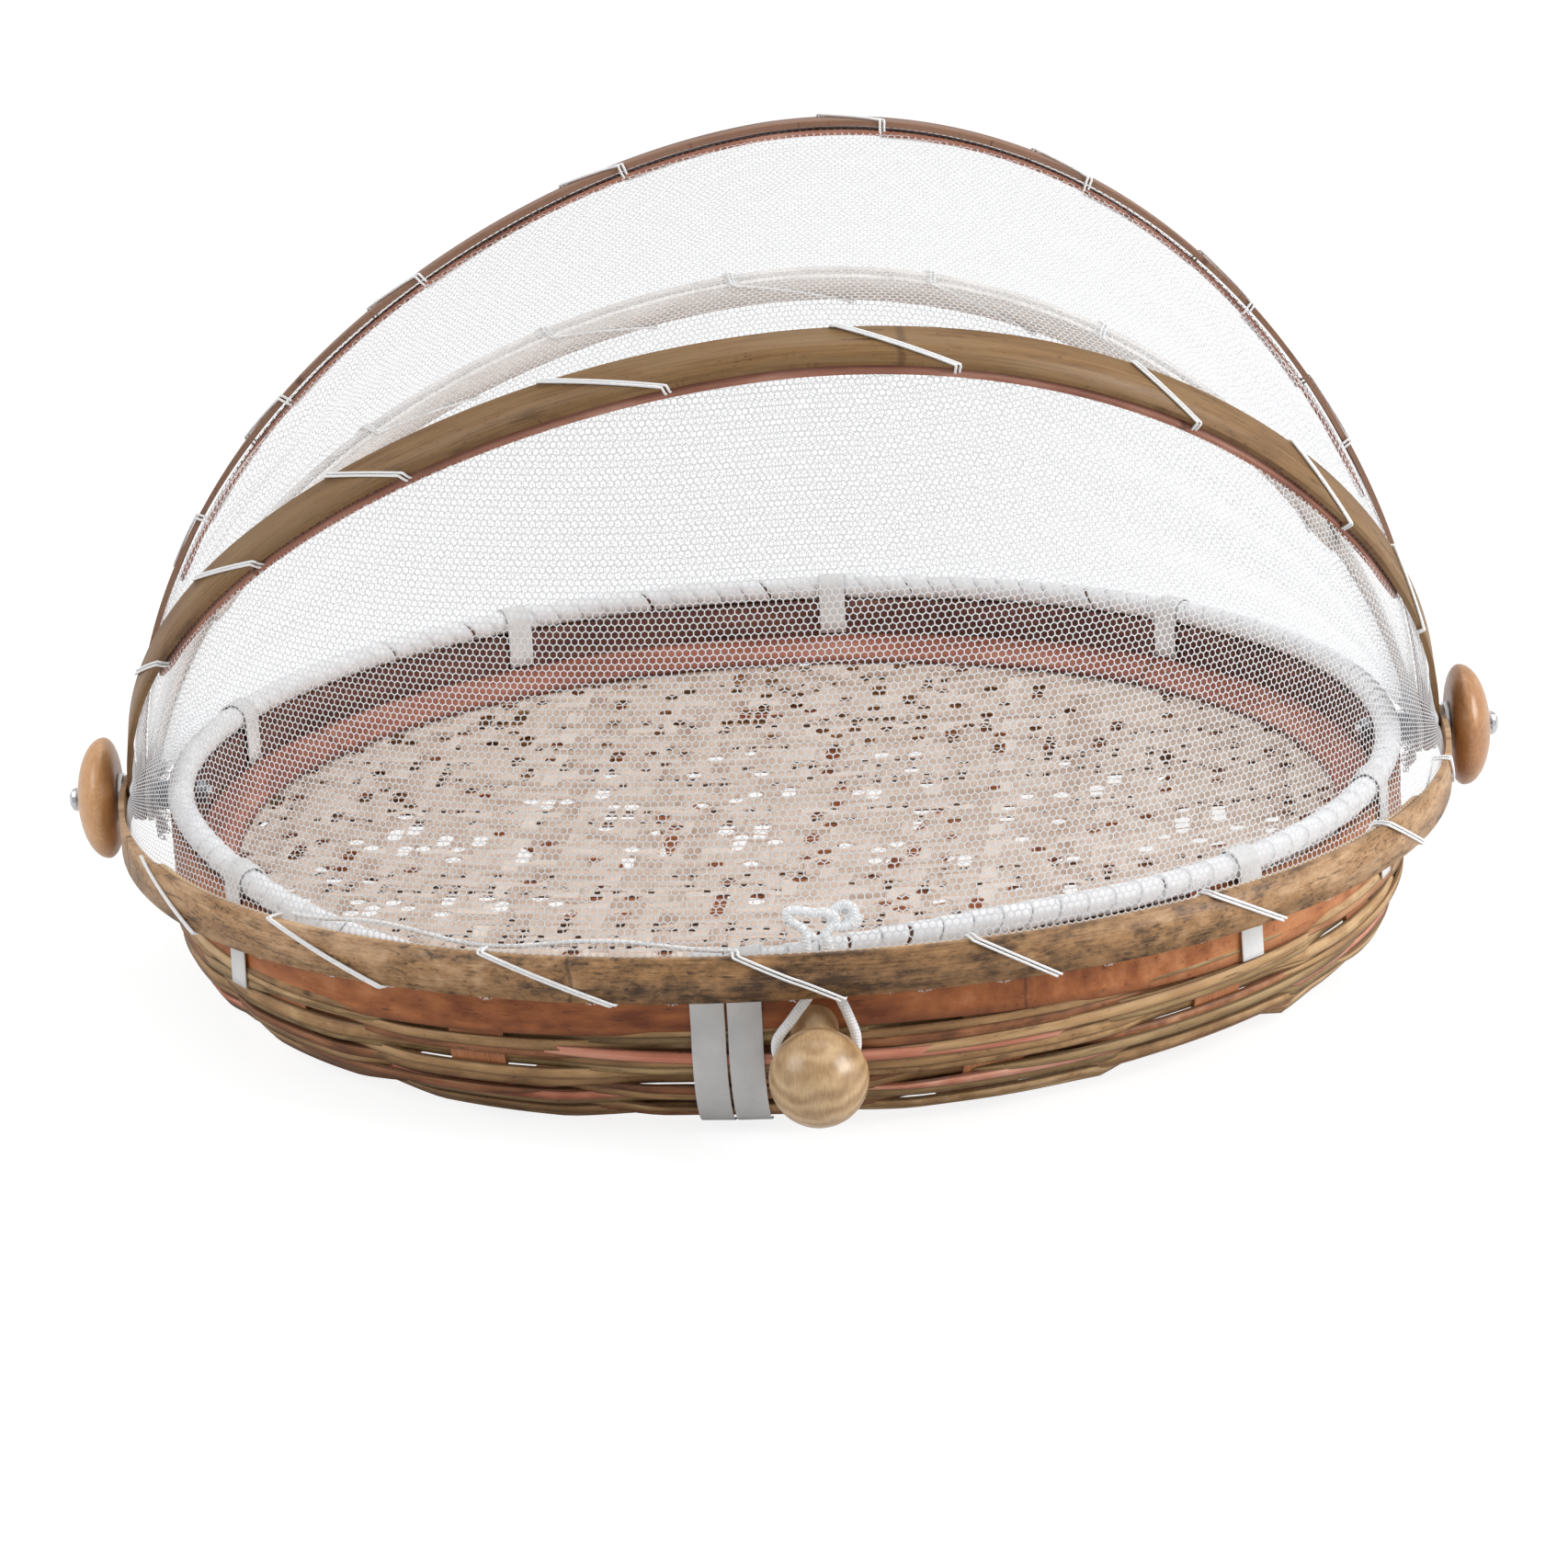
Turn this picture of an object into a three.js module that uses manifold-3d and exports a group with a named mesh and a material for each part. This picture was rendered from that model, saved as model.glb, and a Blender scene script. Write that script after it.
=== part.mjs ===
// Round woven food basket with a folding net cover on four bamboo hoops.
// Millimetres, Z up, base on z = 0, front with the knob towards -Y, hoop pivots on the X direction.
import * as THREE from 'three';
import { mergeVertices } from 'three/addons/utils/BufferGeometryUtils.js';
import Module from 'manifold-3d';

const wasm = await Module();
wasm.setup();

// Clearances shared by all pieces
const clearance = 0.3;
const cutOverrun = 1;

// Height of the pivot axis over the table, and how far the woven pattern is turned from the pivots
const pivotHeight = 45;
const basketTurn = THREE.MathUtils.degToRad(-6);

// Wall stack under the rim: bands, mat edge and stakes, one inside the other
const rimRadius = 158.4;
const bandThickness = 1.6;
const matThickness = 0.8;
const outerBandDrop = 14.2;
const innerBandDrop = 11.4;

// Wrapped rim ring, bent by hand: it rises at the front right and dips at the front left
const wrapDiameter = 6.4;
const wrapWall = 0.6;
const rimLift = 5.6;
const rimRise = 4.2;
const rimRiseTurn = THREE.MathUtils.degToRad(-35);
const rimRiseSpread = THREE.MathUtils.degToRad(75);
const rimDip = 7.6;
const rimDipTurn = THREE.MathUtils.degToRad(-122);
const rimDipSpread = THREE.MathUtils.degToRad(55);
const wrapSeamWidth = 1.2;

// Wide strips that cross under the mat and turn up as the stakes of the wall
const stakeWidth = 15;
const stakeThickness = 1;
const crossStripCount = 3;
const longStripCount = 5;
const stakeCount = 2 * (crossStripCount + longStripCount);
const riseLength = 5;
const baseInset = 20.95;
const cornerReach = 14;
const bellyReach = 5;
const bellyHeight = 14;

// Weavers: thin strips that pass outside one stake and inside the next
const weaverThickness = 0.9;
const weaverWidth = 3;
const weaverWidthShares = [1.25, 0.65, 1.1, 0.7, 0.95, 0.65, 1.05];
const weaverSpace = 0.5;
const weaverSpaceGrowthShare = 0.4;

// Twill mat that the food lies on, and the flat ring that holds its edge down
const matDepth = 15.6;
const matSag = 4;
const matRingWidth = 11.15;
const matRingThickness = 1.4;
const matRingRise = 5.6;

// Flat ribbon lashings over the rim
const strapWidth = 7;
const strapThickness = 0.5;
const strapTurns = [-148, -47.4, -22.5, 43.9, 83.7, 119, 160.4].map(THREE.MathUtils.degToRad);
const frontStrapWidth = 8.2;
const frontStrapSpace = 0.5;
const frontStrapTuck = 15;
const strapLap = 0.5;

// Hoops: an outer and an inner strip of bamboo with the net between them
const hoopWidth = 10.7;
const hoopOuterThickness = 1.5;
const hoopInnerThickness = 1.2;
const hoopInnerWidth = 9.6;
const hoopPlay = 0.4;
const hoopTail = 6;
const hoopInnerStart = THREE.MathUtils.degToRad(22);

// Each hoop is half an oval: its angle up from the front, how far its arch reaches past its span,
// how much it leans to the right, and how full its shoulders are
const hoopKinds = [
  { name: 'front', angle: 0, stretch: -1.8, skewShare: 0, fullShare: 1.06 },
  { name: 'mid', angle: 50, stretch: 1.9, skewShare: 0.103, fullShare: 0.97 },
  { name: 'top', angle: 92.5, stretch: -3.1, skewShare: 0.117, fullShare: 0.965 },
  { name: 'back', angle: 142.5, stretch: -0.2, skewShare: 0.086, fullShare: 0.965 },
];

// Net cloth between the hoops: it sags a little, and its folds deepen towards the pivots
const netThickness = 0.4;
const netStart = THREE.MathUtils.degToRad(7);
const netSag = 2.5;
const netFold = 2.6;
const netFoldReach = THREE.MathUtils.degToRad(65);
const hemDrop = 3;

// Pivot hardware
const boltDiameter = 3;
const boltHeadDiameter = 6.5;
const boltHeadHeight = 2;
const washerDiameter = 13;
const washerThickness = 1;
const spacerDiameter = 8;
const spacerLength = 5.1;
const nutWidth = 5.5;
const nutThickness = 2.4;
const boltEnd = 1.5;
const buttonDiameter = 32;
const buttonThickness = 11;
const buttonBackShare = 0.32;

// Front knob, its screw and the elastic loop that hooks over its neck
const knobTurn = THREE.MathUtils.degToRad(-88.8);
const knobDiameter = 23;
const knobNeckDiameter = 11.4;
const knobNeckLength = 7.5;
const knobDroop = THREE.MathUtils.degToRad(20);
const knobScrewDiameter = 1.8;
const knobScrewHeadDiameter = 4.4;
const knobScrewHeadHeight = 1.4;
const knobScrewDepth = 11;
const elasticDiameter = 2.4;
const elasticRise = 24;
const knotDiameter = 7;
const knotLift = 28.6;
const knotStand = 1.2;

// Facets along the long curves and round the round pieces
const rimFacets = 64;
const ringFacets = 48;
const hoopFacets = 32;
const roundFacets = 12;
const smoothFacets = 20;
const elasticSteps = 36;
const elasticFacets = 6;
const coreFacets = 4;
const wrapFacets = 8;
const strapSteps = 6;
const frontSteps = 5;
const headSteps = 3;
const buttonSteps = 4;
const ballSteps = 9;
const knotSteps = 6;
const netRows = 6;
const matSteps = 2;
const nutFacets = 6;

// Places that follow from the sizes above
const stackThickness = 2 * bandThickness + matThickness + stakeThickness + 3 * clearance;
const innerBandRadius = rimRadius - stackThickness / 2;
const matLipRadius = innerBandRadius + bandThickness + clearance;
const stakeRadius = matLipRadius + matThickness + clearance + stakeThickness / 2;
const outerBandRadius = stakeRadius + stakeThickness / 2 + clearance;
const wallOutside = outerBandRadius + bandThickness;
const baseFlatRadius = stakeRadius - baseInset;
const matRingOuter = innerBandRadius - clearance;
const matRadius = matRingOuter - matRingWidth;
const hoopNest = hoopOuterThickness + hoopPlay;
const spacerFrom = wallOutside + clearance;
const spacerTo = spacerFrom + spacerLength;
const hoopSpan = spacerTo + clearance + hoopOuterThickness / 2 + (hoopKinds.length - 1) * hoopNest;
const wrapRadius = wrapDiameter / 2;
const coreRadius = wrapRadius - wrapWall - clearance;
const outerBandBottom = pivotHeight - outerBandDrop;
const innerBandBottom = pivotHeight - innerBandDrop;
const matHeight = pivotHeight - matDepth;
const weaveOffset = (stakeThickness + weaverThickness) / 2 + clearance;

const up = new THREE.Vector3(0, 0, 1);
const part = new THREE.Group();

// A raised cosine that is 1 at its middle and 0 beyond its spread
function bump(turn, middle, spread) {
  const away = Math.atan2(Math.sin(turn - middle), Math.cos(turn - middle)) / spread;
  return Math.abs(away) < 1 ? Math.cos((away * Math.PI) / 2) ** 2 : 0;
}

// Height of the rim ring's centre line at a turn round the basket
function ringHeight(turn) {
  return pivotHeight + rimLift + rimRise * bump(turn, rimRiseTurn, rimRiseSpread)
    - rimDip * bump(turn, rimDipTurn, rimDipSpread);
}

function bandTop(turn) {
  return ringHeight(turn) - wrapRadius - clearance;
}

// A point at a radius, turn and height
function polar(radius, turn, height) {
  return new THREE.Vector3(radius * Math.cos(turn), radius * Math.sin(turn), height);
}

// Turn of one corner of the many-sided rings, whose flat sides face the stakes
function ringTurn(index, facets = ringFacets) {
  return basketTurn + ((index + 0.5) * 2 * Math.PI) / facets;
}

// Radius of the corners of a many-sided ring whose flat sides lie at the given radius
function cornerRadius(radius, facets = ringFacets) {
  return radius / Math.cos(Math.PI / facets);
}

// A closed body from triangles, turned inside out if its volume comes out negative
function closedGeometry(points, triangles) {
  let volume = 0;
  for (const [a, b, c] of triangles) {
    volume += points[a].dot(new THREE.Vector3().crossVectors(points[b], points[c]));
  }
  const ordered = volume < 0 ? triangles.map(([a, b, c]) => [a, c, b]) : triangles;
  const places = points.flatMap((point) => point.toArray());
  const geometry = new THREE.BufferGeometry();
  geometry.setAttribute('position', new THREE.Float32BufferAttribute(places, 3));
  geometry.setIndex(ordered.flat());
  return geometry;
}

// A body through a row of sections with equal point counts, closed on itself or capped at both ends
function loft(sections, loops = false) {
  const side = sections[0].length;
  const points = sections.flat();
  const triangles = [];
  const last = loops ? sections.length : sections.length - 1;
  for (let i = 0; i < last; i += 1) {
    const next = (i + 1) % sections.length;
    for (let j = 0; j < side; j += 1) {
      const right = (j + 1) % side;
      const corners = [i * side + j, i * side + right, next * side + right, next * side + j];
      triangles.push([corners[0], corners[1], corners[2]], [corners[0], corners[2], corners[3]]);
    }
  }
  if (!loops) {
    const end = (sections.length - 1) * side;
    for (let j = 1; j < side - 1; j += 1) {
      triangles.push([0, j + 1, j], [end, end + j, end + j + 1]);
    }
  }
  return closedGeometry(points, triangles);
}

// A shell between two grids of points, one row of points per step
function shell(outside, inside) {
  const rows = outside.length;
  const columns = outside[0].length;
  const points = [...outside.flat(), ...inside.flat()];
  const under = rows * columns;
  const triangles = [];
  const quad = (a, b, c, d) => triangles.push([a, b, c], [a, c, d]);
  const at = (i, j) => i * columns + j;
  for (let i = 0; i < rows - 1; i += 1) {
    for (let j = 0; j < columns - 1; j += 1) {
      quad(at(i, j), at(i + 1, j), at(i + 1, j + 1), at(i, j + 1));
      quad(under + at(i, j), under + at(i, j + 1), under + at(i + 1, j + 1), under + at(i + 1, j));
    }
  }
  for (let i = 0; i < rows - 1; i += 1) {
    quad(at(i, 0), under + at(i, 0), under + at(i + 1, 0), at(i + 1, 0));
    const j = columns - 1;
    quad(at(i, j), at(i + 1, j), under + at(i + 1, j), under + at(i, j));
  }
  for (let j = 0; j < columns - 1; j += 1) {
    quad(at(0, j), at(0, j + 1), under + at(0, j + 1), under + at(0, j));
    const i = rows - 1;
    quad(at(i, j), under + at(i, j), under + at(i, j + 1), at(i, j + 1));
  }
  return closedGeometry(points, triangles);
}

// Four corners of a flat strip's section round a point
function stripSection(middle, across, width, through, thickness) {
  return [[1, 1], [-1, 1], [-1, -1], [1, -1]].map(([side, face]) => middle.clone()
    .addScaledVector(across, (side * width) / 2)
    .addScaledVector(through, (face * thickness) / 2));
}

// A round bar along a line of points, its sections turned with the line
function bar(line, radius, sides, loops = false) {
  const start = line[1].clone().sub(line[0]);
  const sideways = Math.abs(start.z) < start.length() / 2 ? up : new THREE.Vector3(1, 0, 0);
  let across = null;
  const sections = line.map((point, i) => {
    const before = loops ? line.at(i - 1) : line[Math.max(i - 1, 0)];
    const after = loops ? line[(i + 1) % line.length] : line[Math.min(i + 1, line.length - 1)];
    const along = after.clone().sub(before).normalize();
    across = across ?? new THREE.Vector3().crossVectors(along, sideways);
    across.addScaledVector(along, -across.dot(along)).normalize();
    const third = new THREE.Vector3().crossVectors(along, across);
    return Array.from({ length: sides }, (_, k) => {
      const turn = (k * 2 * Math.PI) / sides;
      return point.clone().addScaledVector(across, radius * Math.cos(turn))
        .addScaledVector(third, radius * Math.sin(turn));
    });
  });
  return loft(sections, loops);
}

// A turned body along an axis: the profile holds [radius, distance] pairs from axis to axis
function turned(profile, origin, axis, sides = roundFacets) {
  const outline = profile.map(([radius, reach]) => new THREE.Vector2(radius, reach));
  const shape = new THREE.LatheGeometry(outline, sides);
  shape.applyQuaternion(new THREE.Quaternion().setFromUnitVectors(new THREE.Vector3(0, 1, 0), axis));
  shape.translate(origin.x, origin.y, origin.z);
  return plain(shape);
}

// Positions only, with shared corners merged and the folded faces on the axis left out
function plain(geometry) {
  const bare = geometry.clone();
  bare.deleteAttribute('normal');
  bare.deleteAttribute('uv');
  const merged = mergeVertices(bare, 1e-4);
  const place = merged.getAttribute('position');
  const point = (_, i) => new THREE.Vector3().fromBufferAttribute(place, i);
  const points = Array.from({ length: place.count }, point);
  const index = merged.getIndex().array;
  const triangles = [];
  for (let i = 0; i < index.length; i += 3) {
    const [a, b, c] = index.slice(i, i + 3);
    if (a !== b && b !== c && c !== a) triangles.push([a, b, c]);
  }
  return closedGeometry(points, triangles);
}

function toSolid(geometry) {
  const merged = plain(geometry);
  const mesh = new wasm.Mesh({
    numProp: 3,
    vertProperties: merged.getAttribute('position').array,
    triVerts: new Uint32Array(merged.getIndex().array),
  });
  return new wasm.Manifold(mesh);
}

function toGeometry(solid) {
  const mesh = solid.getMesh();
  const geometry = new THREE.BufferGeometry();
  geometry.setAttribute('position', new THREE.BufferAttribute(new Float32Array(mesh.vertProperties), 3));
  geometry.setIndex(new THREE.BufferAttribute(new Uint32Array(mesh.triVerts), 1));
  return geometry;
}

// The first body with the others cut away
function cut(body, ...tools) {
  return toGeometry(tools.reduce((solid, tool) => solid.subtract(toSolid(tool)), toSolid(body)));
}

// A plain round rod between two points
function rod(from, to, diameter, sides = roundFacets) {
  const length = to.distanceTo(from);
  const axis = to.clone().sub(from).normalize();
  return turned([[0, 0], [diameter / 2, 0], [diameter / 2, length], [0, length]], from, axis, sides);
}

const finishes = {
  bandOuter: { color: 0xb5652f, roughness: 0.6 },
  bandInner: { color: 0x5a3226, roughness: 0.7 },
  matRing: { color: 0x8a4a36, roughness: 0.65 },
  stake: { color: 0xb0683c, roughness: 0.65 },
  weaver: { color: 0x8f7a4a, roughness: 0.65 },
  mat: { color: 0xd8c0a0, roughness: 0.7 },
  core: { color: 0xb79a66, roughness: 0.7 },
  ribbon: { color: 0xeeeeec, roughness: 0.45 },
  hoop: { color: 0x8a6c42, roughness: 0.55 },
  hoopInner: { color: 0x9a6650, roughness: 0.65 },
  net: { color: 0xf4f4f4, roughness: 0.6 },
  elastic: { color: 0xf2f3f4, roughness: 0.7 },
  knob: { color: 0xcfae78, roughness: 0.4 },
  button: { color: 0xd79a55, roughness: 0.35 },
  chrome: { color: 0xc9ccd0, roughness: 0.18, metalness: 1 },
  steel: { color: 0x9aa0a6, roughness: 0.35, metalness: 1 },
};
const materials = Object.fromEntries(Object.entries(finishes)
  .map(([name, finish]) => [name, new THREE.MeshStandardMaterial({ metalness: 0, ...finish })]));

function add(name, geometry, finish) {
  const mesh = new THREE.Mesh(geometry, materials[finish]);
  mesh.name = name;
  part.add(mesh);
}

// Wall curve of the stakes in radius and height, from the flat base to the bands
const wallCurve = new THREE.CubicBezierCurve(
  new THREE.Vector2(baseFlatRadius, stakeThickness / 2),
  new THREE.Vector2(baseFlatRadius + cornerReach, stakeThickness / 2),
  new THREE.Vector2(stakeRadius + bellyReach, bellyHeight),
  new THREE.Vector2(stakeRadius, outerBandBottom),
);
const wallLength = wallCurve.getLength();

// A point of the wall curve at a distance down from the bottom of the outer band
function wallPoint(down) {
  return wallCurve.getPointAt(Math.max(1 - down / wallLength, 0));
}

// Rows of weavers from the band down: the two edges of each, as distances down the wall curve
const weaverRows = [];
for (const share of weaverWidthShares) {
  const row = weaverRows.length;
  const above = row ? weaverRows[row - 1].bottom : 0;
  const top = above + weaverSpace * (1 + weaverSpaceGrowthShare * row);
  weaverRows.push({ top, bottom: top + weaverWidth * share });
}

// Plan of one strip's half from its middle to the flat base's edge, where it points outwards:
// a parabola whose offset in the middle is half of its offset at the edge
function stripPlan(spread) {
  const rest = (baseFlatRadius * Math.sin(spread)) / 2;
  const bend = Math.tan(spread) / (2 * baseFlatRadius * Math.cos(spread));
  return { reach: baseFlatRadius * Math.cos(spread), offset: (along) => rest + bend * along * along };
}

// Strip layouts: cross strips run along the basket's own X, long strips along its Y
const stripPitch = (2 * Math.PI) / stakeCount;
function stripSet(count) {
  return Array.from({ length: count }, (_, i) => {
    const steps = i - (count - 1) / 2;
    const spread = Math.abs(steps) * stripPitch;
    return { steps, side: Math.sign(steps) || 1, spread, plan: stripPlan(spread) };
  });
}
const crossStrips = stripSet(crossStripCount);
const longStrips = stripSet(longStripCount);

// Where a strip meets a crossing strip: distance along it, and how long the flat crossing is
const crossingTries = 16;
function crossing(strip, other) {
  let along = 0;
  let offset = 0;
  for (let i = 0; i < crossingTries; i += 1) {
    offset = strip.side * strip.plan.offset(along);
    along = other.side * other.plan.offset(offset);
  }
  const lean = (2 * (strip.plan.offset(along) - strip.plan.offset(0))) / (along || 1);
  const otherLean = (2 * (other.plan.offset(offset) - other.plan.offset(0))) / (offset || 1);
  const meet = Math.PI / 2 - Math.abs(Math.atan(lean)) - Math.abs(Math.atan(otherLean));
  const half = (stakeWidth / 2) * (1 + Math.cos(meet)) / Math.sin(meet);
  return { along, half };
}

// One strip: flat and interlaced under the mat, then up the wall at both ends
function stripBody(strip, others, level, turn) {
  const lift = (stakeThickness + clearance) / 2;
  const middleHeight = stakeThickness / 2 + lift;
  const marks = others.map((other, i) => ({ ...crossing(strip, other), over: (i + level) % 2 ? 1 : -1 }))
    .sort((a, b) => a.along - b.along);
  const flat = [];
  for (const { along, half, over } of marks) {
    flat.push([along - half, middleHeight + over * lift], [along + half, middleHeight + over * lift]);
  }
  const reach = strip.plan.reach;
  const first = [-reach, -(reach + Math.abs(flat[0][0]) + riseLength) / 2, flat[0][0] - riseLength];
  const stations = [
    ...first.map((along) => [along, stakeThickness / 2]),
    ...flat,
    ...first.toReversed().map((along) => [-along, stakeThickness / 2]),
  ];
  const sections = stations.map(([along, height]) => {
    const slope = (2 * strip.side * (strip.plan.offset(along) - strip.plan.offset(0))) / (along || 1);
    const heading = new THREE.Vector3(1, slope, 0).normalize();
    const across = new THREE.Vector3(-heading.y, heading.x, 0);
    const middle = new THREE.Vector3(along, strip.side * strip.plan.offset(along), height);
    return stripSection(middle, across, stakeWidth, up, stakeThickness);
  });
  const wallStations = weaverRows.map(({ bottom }, i) => (
    wallPoint(bottom + (weaverRows[i + 1] ? weaverRows[i + 1].top - bottom : weaverSpace) / 2))).reverse();
  for (const end of [1, -1]) {
    const ray = end > 0 ? strip.side * strip.spread : Math.PI - strip.side * strip.spread;
    const across = new THREE.Vector3(-Math.sin(ray), Math.cos(ray), 0).multiplyScalar(end);
    const half = stakeWidth / 2 / stakeRadius;
    const top = Math.min(bandTop(ray + turn - half), bandTop(ray + turn + half)) - clearance;
    const behindBand = [outerBandBottom, top].map((height) => new THREE.Vector2(stakeRadius, height));
    const stops = [...wallStations, ...behindBand];
    const made = stops.map((stop, i) => {
      const before = i ? stops[i - 1] : new THREE.Vector2(baseFlatRadius, stakeThickness / 2);
      const after = stops[Math.min(i + 1, stops.length - 1)];
      const climb = Math.atan2(after.y - before.y, after.x - before.x);
      const through = polar(-Math.sin(climb), ray, Math.cos(climb));
      return stripSection(polar(stop.x, ray, stop.y), across, stakeWidth, through, stakeThickness);
    });
    if (end > 0) sections.push(...made);
    else sections.unshift(...made.reverse());
  }
  return loft(sections).rotateZ(turn);
}

crossStrips.forEach((strip, i) => {
  add(`cross_strip_${i + 1}`, stripBody(strip, longStrips, i, basketTurn), 'stake');
});
longStrips.forEach((strip, i) => {
  const mirrored = { ...strip, side: -strip.side };
  add(`long_strip_${i + 1}`, stripBody(mirrored, crossStrips, i + 1, basketTurn + Math.PI / 2), 'stake');
});

// The knob's seat on the first weaver row, between two stakes, and the hole for its screw
const screwRow = wallPoint((weaverRows[0].top + weaverRows[0].bottom) / 2);
const screwFrom = screwRow.x - weaveOffset - weaverThickness / 2 - clearance - knobScrewHeadHeight;
const knobOut = polar(1, knobTurn, 0);
const knobAxis = polar(Math.cos(knobDroop), knobTurn, -Math.sin(knobDroop));
const knobSeat = polar(wallOutside + clearance, knobTurn, screwRow.y);
const screwStart = polar(screwFrom, knobTurn, screwRow.y);
const screwReach = polar(wallOutside + knobScrewDepth, knobTurn, screwRow.y);
const knobHole = rod(screwStart, screwReach, knobScrewDiameter + 2 * clearance);

// Weaver rows: rings that pass outside one stake and inside the next
const facetsPerStake = ringFacets / stakeCount;
weaverRows.forEach(({ top, bottom }, row) => {
  const high = wallPoint(top);
  const low = wallPoint(bottom);
  const rise = high.clone().sub(low).normalize();
  const middle = high.clone().add(low).multiplyScalar(0.5);
  const sections = Array.from({ length: ringFacets }, (_, i) => {
    const step = i / facetsPerStake;
    const stake = Math.floor(step);
    const within = (i % facetsPerStake) / (facetsPerStake - 1);
    const side = (stake + row) % 2 ? 1 : -1;
    const offset = side * weaveOffset * (1 - 2 * within);
    const turn = ringTurn(i);
    const across = polar(rise.x, turn, rise.y);
    const through = polar(rise.y, turn, -rise.x);
    const place = polar(cornerRadius(middle.x + offset * rise.y), turn, middle.y - offset * rise.x);
    return stripSection(place, across, weaverWidth * weaverWidthShares[row], through, weaverThickness);
  });
  const ring = loft(sections, true);
  add(`weaver_row_${row + 1}`, row ? ring : cut(ring, knobHole), 'weaver');
});

// A flat band round the basket whose top edge follows the rim
function band(radius, thickness, bottom) {
  return loft(Array.from({ length: ringFacets }, (_, i) => {
    const turn = ringTurn(i);
    return [
      polar(cornerRadius(radius), turn, bottom),
      polar(cornerRadius(radius + thickness), turn, bottom),
      polar(cornerRadius(radius + thickness), turn, bandTop(turn)),
      polar(cornerRadius(radius), turn, bandTop(turn)),
    ];
  }), true);
}

// Holes for the two pivot bolts
const boltHoleDiameter = boltDiameter + 2 * clearance;
function pivotRod(diameter, from, to, side) {
  const at = (reach) => new THREE.Vector3(side * reach, 0, pivotHeight);
  return rod(at(from), at(to), diameter);
}
const sides = [[-1, 'left'], [1, 'right']];
const bandHoles = sides.map(([side]) => (
  pivotRod(boltHoleDiameter, innerBandRadius - cutOverrun, wallOutside + cutOverrun, side)));

add('outer_band', cut(band(outerBandRadius, bandThickness, outerBandBottom), ...bandHoles), 'bandOuter');
add('inner_band', cut(band(innerBandRadius, bandThickness, innerBandBottom), ...bandHoles), 'bandInner');

// Flat ring that lies on the mat's edge, leaning up towards the inner band
const matRingSections = Array.from({ length: ringFacets }, (_, i) => {
  const turn = ringTurn(i);
  const low = [matRadius, matHeight + matThickness + clearance];
  const high = [matRingOuter, low[1] + matRingRise];
  return [
    polar(cornerRadius(low[0]), turn, low[1]),
    polar(cornerRadius(high[0]), turn, high[1]),
    polar(cornerRadius(high[0]), turn, high[1] + matRingThickness),
    polar(cornerRadius(low[0]), turn, low[1] + matRingThickness),
  ];
});
add('mat_ring', loft(matRingSections, true), 'matRing');

// Mat: a shallow dish whose edge climbs under the ring and stands up between the inner band and the stakes
function matProfile(lift) {
  const away = matThickness - lift;
  const points = [];
  for (let i = 1; i <= matSteps; i += 1) {
    const share = i / matSteps;
    points.push([matRadius * share, () => matHeight - matSag * (1 - share * share) + lift]);
  }
  points.push([matLipRadius + away, () => innerBandBottom - clearance - away]);
  points.push([matLipRadius + away, (turn) => bandTop(turn) - clearance]);
  return points;
}
const matFaces = [matThickness, 0].map((lift) => {
  const rings = matProfile(lift).map(([radius, height]) => Array.from({ length: ringFacets + 1 }, (_, i) => {
    const turn = ringTurn(i % ringFacets);
    return polar(cornerRadius(radius), turn, height(turn));
  }));
  const middle = rings[0].map(() => new THREE.Vector3(0, 0, matHeight - matSag + lift));
  return [middle, ...rings];
});
add('woven_mat', cut(shell(...matFaces), ...bandHoles), 'mat');

// Rim ring and its wrapping, which leaves a fine seam where its ends meet at the back
const seam = wrapSeamWidth / rimRadius;
const rimPoint = (turn) => polar(cornerRadius(rimRadius, rimFacets), turn, ringHeight(turn));
const coreLine = Array.from({ length: rimFacets }, (_, i) => rimPoint(ringTurn(i, rimFacets)));
add('rim_core', bar(coreLine, coreRadius, coreFacets, true), 'core');
const wrapFrom = ringTurn(rimFacets / 4, rimFacets) + seam;
const wrapTo = wrapFrom + 2 * Math.PI - 2 * seam;
const wrapGrids = [wrapRadius, wrapRadius - wrapWall].map((radius) => (
  Array.from({ length: rimFacets + 1 }, (_, i) => {
    const turn = wrapFrom + ((wrapTo - wrapFrom) * i) / rimFacets;
    return Array.from({ length: wrapFacets }, (__, k) => {
      const round = (k * 2 * Math.PI) / wrapFacets;
      const corner = cornerRadius(radius, wrapFacets);
      return rimPoint(turn).add(polar(corner * Math.cos(round), turn, corner * Math.sin(round)));
    });
  })));
add('rim_wrap', tube(wrapGrids[0], wrapGrids[1]), 'ribbon');

// A pipe wall between an outer and an inner row of round sections, open at both ends
function tube(outside, inside) {
  const side = outside[0].length;
  const points = [...outside.flat(), ...inside.flat()];
  const under = outside.length * side;
  const triangles = [];
  const quad = (a, b, c, d) => triangles.push([a, b, c], [a, c, d]);
  const last = outside.length - 1;
  for (let j = 0; j < side; j += 1) {
    const right = (j + 1) % side;
    for (let i = 0; i < last; i += 1) {
      quad(i * side + j, i * side + right, (i + 1) * side + right, (i + 1) * side + j);
      quad(under + i * side + j, under + (i + 1) * side + j, under + (i + 1) * side + right,
        under + i * side + right);
    }
    quad(j, under + j, under + right, right);
    const end = last * side;
    quad(end + j, end + right, under + end + right, under + end + j);
  }
  return closedGeometry(points, triangles);
}

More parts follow.
